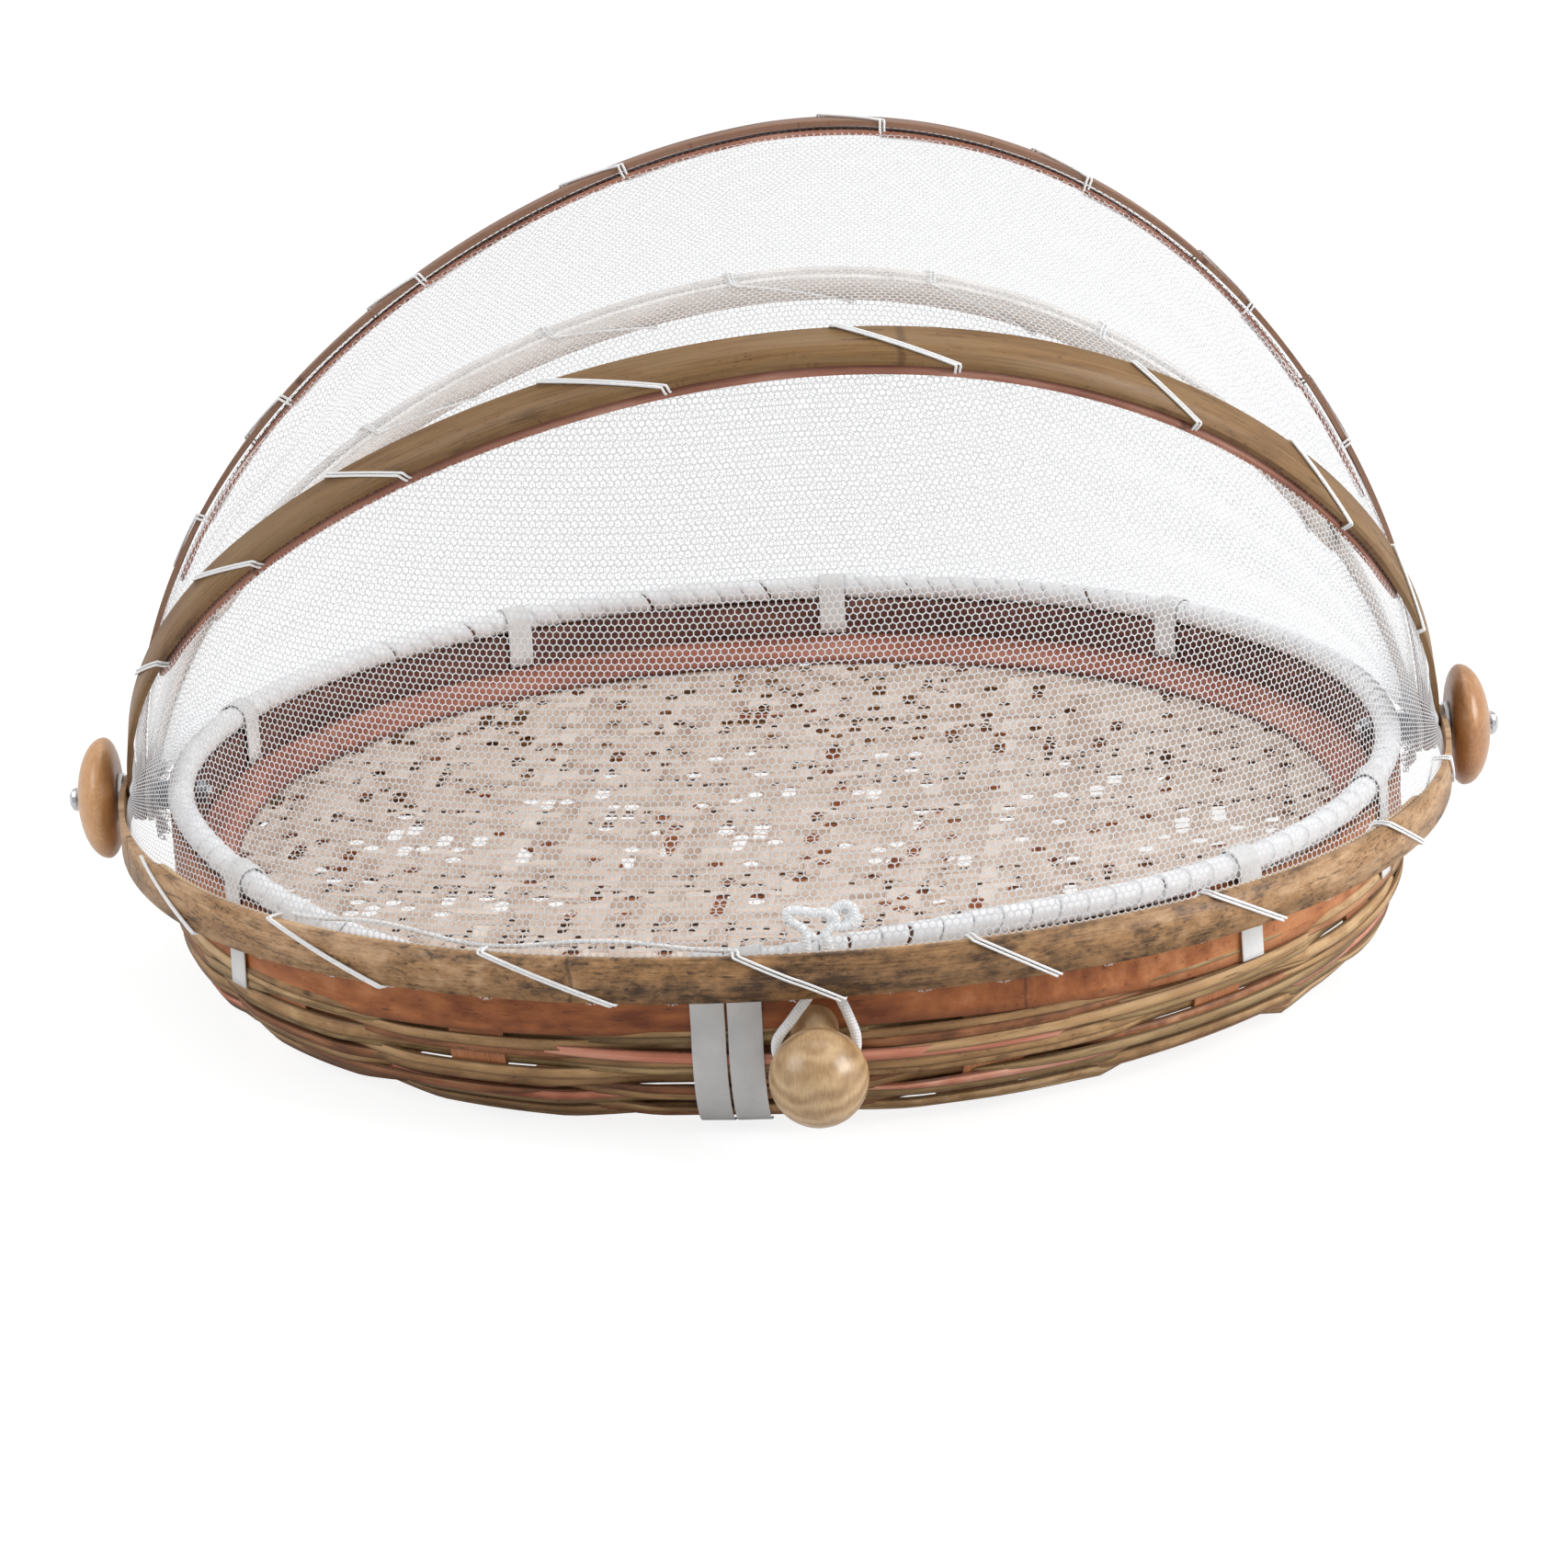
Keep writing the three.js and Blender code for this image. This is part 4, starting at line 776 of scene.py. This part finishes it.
hoop_shaders = {
    "front": bamboo("front_hoop", "4c3624 9e774f c8a580 36271b", stained=0.75, specks=1.25, shine=0.42,
                    fibre=0.7, node_pitch=0.23, mottled=0.8),
    "mid": bamboo("mid_hoop", "664322 b08858 d4b07e 49311a", stained=0.6, specks=0.6, shine=0.42,
                  fibre=1.1, edge=0.0053, node_pitch=0.3),
    "top": bamboo("top_hoop", "8c6852 c0947a dab499 3a2014", stained=0.4, specks=0.4, edge=0.0053,
                  node_pitch=0.26),
    "back": bamboo("back_hoop", "b3aba5 dcd6d1 efebe8 9a8f86", stained=0.4, specks=0.4, node_pitch=0.28),
}
lining_shaders = {
    "back": bamboo("back_lining", "c9c2bc e4dfda f1eeea a79c94", stained=0.3, fibre=0.4),
    "front": bamboo("front_lining", "7a5a38 b08a5c d2b083 4a341f", stained=0.3, fibre=0.4),
    "middle": bamboo("hoop_lining", "6a4034 a06c58 c29684 3c1d16", stained=0.3, fibre=0.4, node_pitch=0.25),
}
lining_sides = {"front": 0.0, "mid": -0.0014, "top": -0.0011, "back": 0.0}
for index, name in enumerate(("back", "top", "mid", "front")):
    t = np.linspace(-0.034, pi + 0.034, 200)
    ends = np.minimum(t - t[0], t[-1] - t)
    width = hoop_width * (1 - 0.35 * np.exp(-(ends / 0.012) ** 2)) * (1 + 0.02 * np.cos(9 * t + index))
    points, grain = hoop_strip(name, t, 0.0, hoop_thickness, width, 0.00012)
    shade = 0.5
    if name == "front":
        # On the front hoop the tone holds painted light and shade: darker at the middle of the front, where
        # little light falls, and paler at the right end, which the light from the right catches.
        shade = (0.59 - 0.35 * bump(t, 85, 48) + 0.1 * bump(t, degrees(0.1), degrees(0.8)))[:, None]
    strip = skin(f"{name}_hoop_strip", points, grain + index, "rod", tone=shade)
    dress(strip, hoop_shaders[name], "hoop", f"{name}_hoop_outer", body=f"{name}_hoop")
    t = np.linspace(radians(22.5), pi - radians(22.5), 160)
    ends = np.minimum(t - t[0], t[-1] - t)
    width = lining_width * (1 - 0.4 * np.exp(-(ends / 0.03) ** 2))
    points, grain = hoop_strip(name, t, lining_depth, lining_thickness, width, side=lining_sides[name])
    strip = skin(f"{name}_hoop_lining", points, grain + 3 + index, "rod", tone=0.5)
    shader = lining_shaders.get(name, lining_shaders["middle"])
    dress(strip, shader, "hoop_inner", f"{name}_hoop_inner", body=f"{name}_hoop")


# Thread: two ends of white plied cotton lie side by side and are wound round each hoop in long slanted
# stitches, which tie its two strips and the net together.
def tube(path, radius, sides=8):
    """A round tube along a path. Its circles stand square to the path, and each one is turned as little as
    possible from the one before."""
    ahead = np.gradient(path, axis=0)
    ahead /= np.linalg.norm(ahead, axis=1, keepdims=True) + 1e-12
    across = np.zeros_like(path)
    start = np.cross(ahead[0], (0.13, 0.2, 1))
    for i in range(len(path)):
        start = start - ahead[i] * (start @ ahead[i])
        start = start / np.linalg.norm(start)
        across[i] = start
    third = np.cross(ahead, across)
    turn = circle(sides)[:, None]
    points = path[:, None] + radius * (across[:, None] * np.cos(turn) + third[:, None] * np.sin(turn))
    return points, grain_map(run_length(path), np.linspace(0, 1, sides + 1))


def thread_shader(name, colour, ply_length, depth):
    """Twisted thread: its plies are the sine of the way along plus the way round, with painted shade in the
    grooves.
    """
    made, tree = new_shader(name)
    _, along, around = read_grain(tree)
    twist = plus(tree, calc(tree, "DIVIDE", along, ply_length), around)
    ply = calc(tree, "ABSOLUTE", calc(tree, "SINE", times(tree, twist, pi * 2)))
    fuzz = noise(tree, put(tree, "TexCoord")["Object"], 2600.0, 2.0, 0.6)
    shade = spread(tree, ply, 0.0, 0.5, depth, 1.0)
    mixed = put(tree, "Mix", shade, data_type="RGBA", named={6: tint("a9aaac"), 7: tint(colour)})[2]
    height = plus(tree, ply, times(tree, fuzz, 0.4))
    coat(tree, mixed, 0.7, relief(tree, height, 0.6, 0.0002), **{"Sheen Weight": 0.3})
    return made


stitch_shader = thread_shader("thread", "f7f7f7", 0.0011, 0.35)
half_stitch = 0.0058
outer_depth = -0.00118
inner_depth = 0.00335
strand_radius = 0.00033
stitches = {
    "front": [(157, 146), (134.5, 122.6), (113.4, 103), (93.9, 87.2), (77.5, 71), (57, 49.4), (34.1, 26.5),
              (15, 9)],
    "mid": [(162.6, 155), (147.2, 138), (129, 121.2), (108.6, 98.3), (84.1, 74.2), (58.9, 52.9), (41.9, 34.2),
            (25, 18)],
    "top": [(157, 151), (143, 137.5), (127, 121.5), (107.5, 102), (83.5, 78), (64, 59), (47, 41.5),
            (33, 27.5)],
    "back": [(158, 151), (140, 132), (120, 112), (101, 93), (80, 72), (61, 54), (43, 36), (26, 20)],
}


def stitch_route(spans):
    """The thread's way as rows of angle, side and depth: down across the outer face in each stitch, round the
    lower edge, and back up behind the strips to where the next stitch starts."""
    route = []
    for k, (start, stop) in enumerate(spans):
        begin, end = radians(start), radians(stop)
        low = inner_depth if 22 < stop < 158 else 0.0016
        bend = (outer_depth + low) / 2
        route += zip(np.linspace(begin, end, 14), np.linspace(half_stitch, -half_stitch, 14),
                     [outer_depth] * 14)
        route += [(end - 0.002, -half_stitch - 0.0001, bend), (end - 0.006, -half_stitch + 0.0006, low)]
        if k + 1 < len(spans):
            following = radians(spans[k + 1][0])
            route += zip(np.linspace(end - 0.012, following + 0.008, 12),
                         np.linspace(-half_stitch + 0.001, half_stitch - 0.001, 12), [low] * 12)
            route += [(following + 0.003, half_stitch - 0.0002, low),
                      (following + 0.001, half_stitch + 0.0001, bend)]
    route = np.array(route)
    fine = np.linspace(0, len(route) - 1, len(route) * 3)
    return [np.interp(fine, np.arange(len(route)), column) for column in route.T]


for name, spans in stitches.items():
    t, side, depth = stitch_route(spans)
    strands = [tube(hoop_line(name, t + twin * 0.0033, depth, side - twin * 0.00016), strand_radius)
               for twin in (-1, 1)]
    if name == "front":
        t = np.linspace(radians(134.5), radians(93.9), len(t))
        sway = np.sin(2 * pi * (t - t[0]) / (t[-1] - t[0])) ** 2
        strands.append(tube(hoop_line(name, t, 0.0064 + 0.0008 * sway, 0.0048 + 0.0022 * sway), 0.00055))
    points, grains = zip(*strands)
    thread = skin(f"{name}_hoop_thread", np.array(points), np.array(grains), "rod")
    dress(thread, stitch_shader, "elastic", body=f"{name}_hoop")


# Net: white knitted mesh with hexagonal cells, in four panels from hoop to hoop and from the back hoop to the
# rim. It is stretched along the hoops, and gathered in folds and puckers towards both pivots.
def vector(tree, operation, *plugs):
    """One operation on vectors: a vector and a number come out."""
    return put(tree, "VectorMath", *plugs, operation=operation)


def net_shader(name, cell, thread):
    """Hexagonal cells on the map of the cloth: each place belongs to the nearer middle of two lattices, and
    shows thread within half a thread of its cell's edge. The rest is clear."""
    made, tree = new_shader(name)
    grain, _, _ = read_grain(tree)
    scaled = vector(tree, "MULTIPLY", grain, (1 / cell, 1 / cell, 0))[0]

    def from_middle(shift):
        """The way to each place from the middle of its cell in one lattice, of 1 by the root of 3."""
        moved = vector(tree, "ADD", scaled, (shift, shift * sqrt(3), 0))[0]
        wrapped = vector(tree, "MODULO", moved, (1.0, sqrt(3), 1.0))[0]
        offset = vector(tree, "SUBTRACT", wrapped, (0.5, sqrt(3) / 2, 0.5))[0]
        return vector(tree, "MULTIPLY", offset, (1, 1, 0))[0]

    first = from_middle(1000.0)
    second = from_middle(1000.5)
    nearer = calc(tree, "LESS_THAN", vector(tree, "LENGTH", second)[1], vector(tree, "LENGTH", first)[1])
    chosen = put(tree, "Mix", nearer, data_type="VECTOR", named={4: first, 5: second})[1]
    folded = vector(tree, "ABSOLUTE", chosen)[0]
    slanted = vector(tree, "DOT_PRODUCT", folded, (0.5, sqrt(3) / 2, 0))[1]
    upright = put(tree, "SeparateXYZ", folded)[0]
    edge = calc(tree, "SUBTRACT", 0.5, calc(tree, "MAXIMUM", slanted, upright))
    gathered = put(tree, "Attribute", attribute_name="tone")["Fac"]
    width = times(tree, plus(tree, times(tree, gathered, 2.2), 1.0), thread / cell / 2)
    cover = spread(tree, calc(tree, "DIVIDE", edge, width), 0.75, 1.35, 1.0, 0.0)
    knit = relief(tree, noise(tree, grain, 3000.0, 1.0, 0.5), 0.3, 0.0002)
    sockets = {"Base Color": tint("dadde0"), "Roughness": 0.55, "Normal": knit}
    cotton = put(tree, "BsdfPrincipled", named=sockets)[0]
    lit = put(tree, "BsdfTranslucent", tint("eaeef2"))[0]
    cloth = put(tree, "MixShader", 0.45, cotton, lit)[0]
    clear = put(tree, "BsdfTransparent", white)[0]
    put(tree, "OutputMaterial", put(tree, "MixShader", cover, clear, cloth)[0])
    return made


# Panels: each runs from one hoop to the next, with radial folds and finer puckers near the pivots. They are
# made in pieces side by side. The front one has a hem below its hoop.
net_cell = 0.0018
net_thread = 0.00028
net_depth = 0.00125
net_white = net_shader("net", net_cell, net_thread)
columns = 361
t = np.linspace(radians(3), pi - radians(3), columns)
away = np.minimum(t, pi - t)
share = np.linspace(0, 1, 73)[:, None]
belly = np.sin(pi * share)
inside = np.clip((share - 1 / 6) * 6, 0, 1) * np.clip((1 - share) * 6, 0, 1)
folds = -0.0026 * bump(away, 32.5, 32.5) * np.cos(6 * pi * share) * inside
close = np.exp(-(away * 0.17 / 0.05) ** 2)
gathered = np.exp(-(away * 0.17 / 0.044) ** 2)
reaches = (1.0, 0.72, 0.5, 0.33, 0.2)
left_cuts = [0] + [np.searchsorted(np.sin(t[:columns // 2]), part) for part in reaches[:0:-1]]
cuts = left_cuts + [columns - 1 - cut for cut in left_cuts[::-1]]
middles = [sqrt(a * b) for a, b in zip(reaches[1:] + (0.08,), reaches)]
middles = middles[:0:-1] + middles
panels = (
    ("net_front_panel", "front", "mid", "net_front", "front_hoop", "mid_hoop", 3),
    ("net_upper_panel", "mid", "top", "net_upper", "mid_hoop", "top_hoop", 4),
    ("net_rear_panel", "top", "back", "net_rear", "top_hoop", "back_hoop", 5),
    ("net_back_panel", "back", None, "net_back", "back_hoop", "basket", 6),
)
for name, first, second, cad_node, body_a, body_b, seed in panels:
    luck = np.random.default_rng(seed)
    near = hoop_line(first, t, net_depth, 0.003)
    far = hoop_line(second, t, net_depth, -0.003) if second else polar(0.1634, t, rim_height(t) - 0.0012)
    width = np.linalg.norm(far - near, axis=1)
    cloth = near + (far - near) * share[..., None]
    outward = cloth * (0, 1, 1) - np.array((0, 0, pivot_height))
    outward /= np.maximum(np.linalg.norm(outward, axis=-1, keepdims=True), 1e-6)
    puckers = sum(luck.uniform(0.25, 0.6) * np.sin(2 * pi * (waves * share + luck.random())
                                                   + 1.3 * np.cos(2 * t + waves))
                  for waves in (2.5, 4, 6))
    pucker_height = 0.0024 * close * np.clip(width / 0.03, 0.3, 1) + 0.0003
    lift = -0.0022 * np.sin(t) * belly + folds + puckers * belly ** 0.5 * pucker_height
    cloth = cloth + outward * lift[..., None]
    run = run_length((near + far) / 2)
    across = share * np.maximum(width, 0.55 * width.max())
    if name == "net_front_panel":
        hem = hoop_line(first, t, net_depth, 0.0) + np.linspace(-0.0056, 0.0016, 9)[:, None, None] * (0, 0, 1)
        hem[0, :, 2] -= 0.0012 * np.abs(np.sin(t * 61) * np.sin(t * 23)) ** 3
        hem_across = np.repeat(np.linspace(-0.0086, -0.0014, 9)[:, None], columns, axis=1)
        cloth = np.concatenate([hem, cloth])
        across = np.concatenate([hem_across, across])
    grain = np.stack([np.broadcast_to(run, across.shape), across], -1)
    for count, (a, b, ratio) in enumerate(zip(cuts[:-1], cuts[1:], middles)):
        part = slice(a, b + 1)
        piece = skin(f"{name}_{count + 1}", cloth[:, part], grain[:, part], tone=gathered[part])
        piece.data.materials.append(net_white)
        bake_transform(piece)
        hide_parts(cad_node)

# Gathers: the spare net at the ends of the panels. It is bunched into a ruffle at each pivot and held round
# the spacer on the bolt.
ruffle_turn = circle(192)
ruffle_out = np.linspace(0, 1, 14)[:, None]
for side, label in ((-1, "left"), (1, "right")):
    wave = 1.3 * np.sin(2 * ruffle_turn + side) + 0.8 * np.cos(3 * ruffle_turn)
    reach = 0.0066 * (1 + 0.2 * np.cos(5 * ruffle_turn + side) + 0.1 * np.cos(9 * ruffle_turn))
    radius = 0.0047 + reach * ruffle_out
    stand = 0.1664 - 0.0017 * ruffle_out ** 0.7 + 0.0011 * ruffle_out ** 0.5 * np.cos(17 * ruffle_turn + wave)
    out, up = radius * np.cos(ruffle_turn), radius * np.sin(ruffle_turn)
    cloth = np.stack([side * stand, out, pivot_height + up], -1)
    grain = grain_map(np.linspace(0, 0.12, 193), ruffle_out[:, 0] * 0.014).swapaxes(0, 1)
    piece = skin(f"net_gather_{label}", cloth[:, ::-side], grain, "collar", tone=0.5)
    piece.data.materials.append(net_white)
    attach(piece, "basket")


# Pivots: a chromed bolt runs through the wall, a steel spacer, the hoops' ends and the button, with a chrome
# washer under its head and a steel nut inside. The knob's steel screw is driven from inside the wall.
def metal(name, colour, rough):
    """Plated metal, with a roughness and a relief that follow fine scratches."""
    made, tree = new_shader(name)
    scratches = noise(tree, put(tree, "TexCoord")["Object"], 1400.0, 3.0, 0.7)
    shade = spread(tree, scratches, 0.3, 0.7, rough * 0.7, rough * 1.5)
    coat(tree, tint(colour), shade, relief(tree, scratches, 0.08, 0.0001), Metallic=1.0)
    return made


chrome = metal("chrome", "d5d7da", 0.16)
steel = metal("steel", "8f9398", 0.35)
for label in ("left", "right"):
    for node, shader in (("spacer", steel), ("nut", steel), ("washer", chrome), ("bolt", chrome)):
        recoat(f"pivot_{node}_{label}", shader)
recoat("knob_screw", steel)


# Buttons: two domed discs of varnished wood, turned on a lathe. They sit on the pivot bolts outside the
# hoops. The right one has darker colours, as painted shade against the stronger lamp on the right.
def varnished(name, codes, centre, rings=260.0, figure=0.07):
    """Varnished wood: year rings as waves round an axis, bent by noise, plus pores drawn out across them and
    soft clouds pick a colour from dark to light, under a clear coat."""
    made, tree = new_shader(name)
    away = vector(tree, "SUBTRACT", put(tree, "TexCoord")["Object"], centre)[0]
    warp = put(tree, "TexNoise", away, None, 60.0, 2.0, 0.5)[1]
    bent = vector(tree, "ADD", away, vector(tree, "MULTIPLY", warp, (0.012, 0.012, 0.012))[0])[0]
    wave = put(tree, "TexWave", bent, rings, 2.5, 3.0, 2.0, wave_type="RINGS", rings_direction="X")["Fac"]
    pores = noise(tree, vector(tree, "MULTIPLY", away, (2600.0, 500.0, 500.0))[0], 1.0, 2.0, 0.5)
    clouds = noise(tree, away, 110.0, 3.0, 0.6)
    mixed = plus(tree, times(tree, wave, figure), times(tree, pores, 0.35))
    colour = ramp(tree, plus(tree, mixed, times(tree, clouds, 0.5)), codes.split(), (0.2, 0.5, 0.8))
    coat(tree, colour, 0.4, relief(tree, pores, 0.05, 0.0002), **{"Coat Weight": 0.4, "Coat Roughness": 0.18})
    return made


def turned_piece(name, profile, origin, axis, sides=64):
    """A turned solid: each radius of the profile is carried round the axis, at its own distance along it."""
    axis = np.array(axis) / np.linalg.norm(axis)
    across = np.cross(axis, (0.1, 0.2, 1.0))
    across /= np.linalg.norm(across)
    third = np.cross(axis, across)
    turn = circle(sides)[:, None]
    profile = np.array(profile)
    points = (np.array(origin) + axis * profile[:, None, 1:]
              + profile[:, None, :1] * (across * np.cos(turn) + third * np.sin(turn)))
    grain = grain_map(run_length(profile), np.linspace(0, 0.05, sides + 1))
    return skin(name, points, grain, "rod")


button_place = 0.17585
button_radius = 0.016
button_edge = 0.0035
button_dome = 0.0073
hole_radius = 0.0018
back_face = [(button_radius * (0.5 + 0.5 * sin(a)), button_edge * (1 - cos(a)))
             for a in np.linspace(0, pi / 2, 10)]
front_face = [(button_radius * cos(a), button_edge + button_dome * sin(a))
              for a in np.linspace(0.12, pi / 2, 16)[:-1]]
profile = [(hole_radius, 0.0002), *back_face, *front_face, (hole_radius, 0.0107)]
for side, label, codes in ((-1, "left", "b27d4a cc9a68 e6bd90"), (1, "right", "8a5a30 ab7a4e cba175")):
    place = (side * button_place, 0, pivot_height)
    button = turned_piece(f"button_{label}_wood", profile, place, (side, 0, 0))
    shader = varnished(f"button_{label}", codes, (side * 0.15, 0.02, 0.03))
    dress(button, shader, "button", f"pivot_button_{label}")

# Knob: a ball on a short neck, turned from wood and varnished, screwed on from inside the wall. It hangs a
# little, and the neck's end is cut at a slant so that it lies against the wall.
knob_turn = radians(-88.8)
droop = radians(20)
seat_radius = 0.1618
ball_radius = 0.0115
neck_radius = 0.0057
out_line = np.array([cos(knob_turn), sin(knob_turn), 0])
seat_place, _ = wall_curve(np.array([0.002375]))
seat = seat_radius * out_line + (0, 0, seat_place[0, 1])
knob_axis = cos(droop) * out_line - (0, 0, sin(droop))
ball_middle = 0.0075 + sqrt(ball_radius ** 2 - neck_radius ** 2)
profile = [(neck_radius, 0.0005), (neck_radius, 0.002), (0.00545, 0.005), (0.0053, 0.0066)]
for a in np.linspace(pi - asin(neck_radius / ball_radius) + 0.02, 0.02, 40):
    profile.append((ball_radius * sin(a), ball_middle + ball_radius * cos(a)))
knob = turned_piece("knob_wood", profile, seat, knob_axis, 96)
corners = np.array([corner.co for corner in knob.data.vertices])
behind = (corners - seat) @ out_line
slide = np.where((corners - seat) @ knob_axis < 0.0008, -behind / (knob_axis @ out_line), 0)
corners = corners + slide[:, None] * knob_axis
knob.data.vertices.foreach_set("co", corners.astype(np.float32).ravel())
knob_shader = varnished("knob", "7c5a36 a98860 cbac83", (0.05, -0.2, 0.07), 90.0, 0.24)
dress(knob, knob_shader, "knob", "knob")

# Elastic: a braided white cord. Its loop hangs from the front hoop and goes down round the knob's neck, which
# keeps the cover shut, and its ends are tied in a knot and a bow behind the hoop.
side_line = np.array([-sin(knob_turn), cos(knob_turn), 0])


def from_seat(offsets):
    """Places given in millimetres to the right of the knob's seat, out from the wall, and up."""
    return seat + np.array(offsets) / 1000 @ np.array([side_line, out_line, (0, 0, 1)])


def smooth_path(points, count):
    """A curve through the points: cubic pieces whose slopes are those between each point's neighbours, with
    knots spaced by the root of the distance."""
    knots = run_length(points, 0.5)
    wanted = np.linspace(0, knots[-1], count)
    slopes = np.gradient(points, knots, axis=0)
    span = np.clip(np.searchsorted(knots, wanted, side="right") - 1, 0, len(points) - 2)
    gap = (knots[span + 1] - knots[span])[:, None]
    u = (wanted - knots[span])[:, None] / gap
    return ((2 * u ** 3 - 3 * u ** 2 + 1) * points[span] + (u ** 3 - 2 * u ** 2 + u) * gap * slopes[span]
            + (-2 * u ** 3 + 3 * u ** 2) * points[span + 1] + (u ** 3 - u ** 2) * gap * slopes[span + 1])


braid_radius = 0.0012
knot_radius = 0.0011
elastic_shader = thread_shader("elastic", "f4f5f6", 0.0016, 0.55)
loop_path = from_seat([
    (-1, 3.4, 24), (-0.8, 5, 19), (-0.2, 5.2, 12), (-4.6, 5.8, 5.6), (-9, 5.4, -0.6), (-8.2, 3.4, -5.6),
    (0, 2.2, -8.2), (8.4, 3.4, -5.6), (9.4, 5.4, -0.6), (7.8, 5.8, 5), (5.2, 5.2, 12), (4.4, 5, 19),
    (3.6, 3.4, 24)])
loop = skin("elastic_braid", *tube(smooth_path(loop_path, 160), braid_radius, 12), "rod")
dress(loop, elastic_shader, "elastic", "elastic_loop", body="front_hoop")

knot_paths = [
    [(1.2, 3, 22.8), (-1.6, 2.4, 25.4), (-4.6, 1.6, 27.6), (-5, 1.3, 29.2), (-3, 1.2, 29.6), (1, 1.2, 28.8),
     (4.4, 1.4, 28.6), (6.2, 1.8, 27), (4.6, 2.6, 24.8), (2.6, 3, 22.8)],
    [(4, 1.6, 27), (6, 0.2, 28.8), (8.6, 0.6, 30.2), (10.6, 1.6, 28.8), (9.8, 2.6, 26.2), (7, 2.6, 25.2),
     (5.6, 1, 27.4), (7.4, -0.6, 29.2), (9.6, 0, 27.6), (8.2, 1.8, 25.2), (10.8, 1.2, 25.6),
     (11.8, 0.6, 27.6)],
]
points, grains = zip(*(tube(smooth_path(from_seat(path), 90), knot_radius, 12) for path in knot_paths))
knot = skin("elastic_knot_braid", np.array(points), np.array(grains), "rod")
dress(knot, elastic_shader, "elastic", "elastic_knot", body="front_hoop")
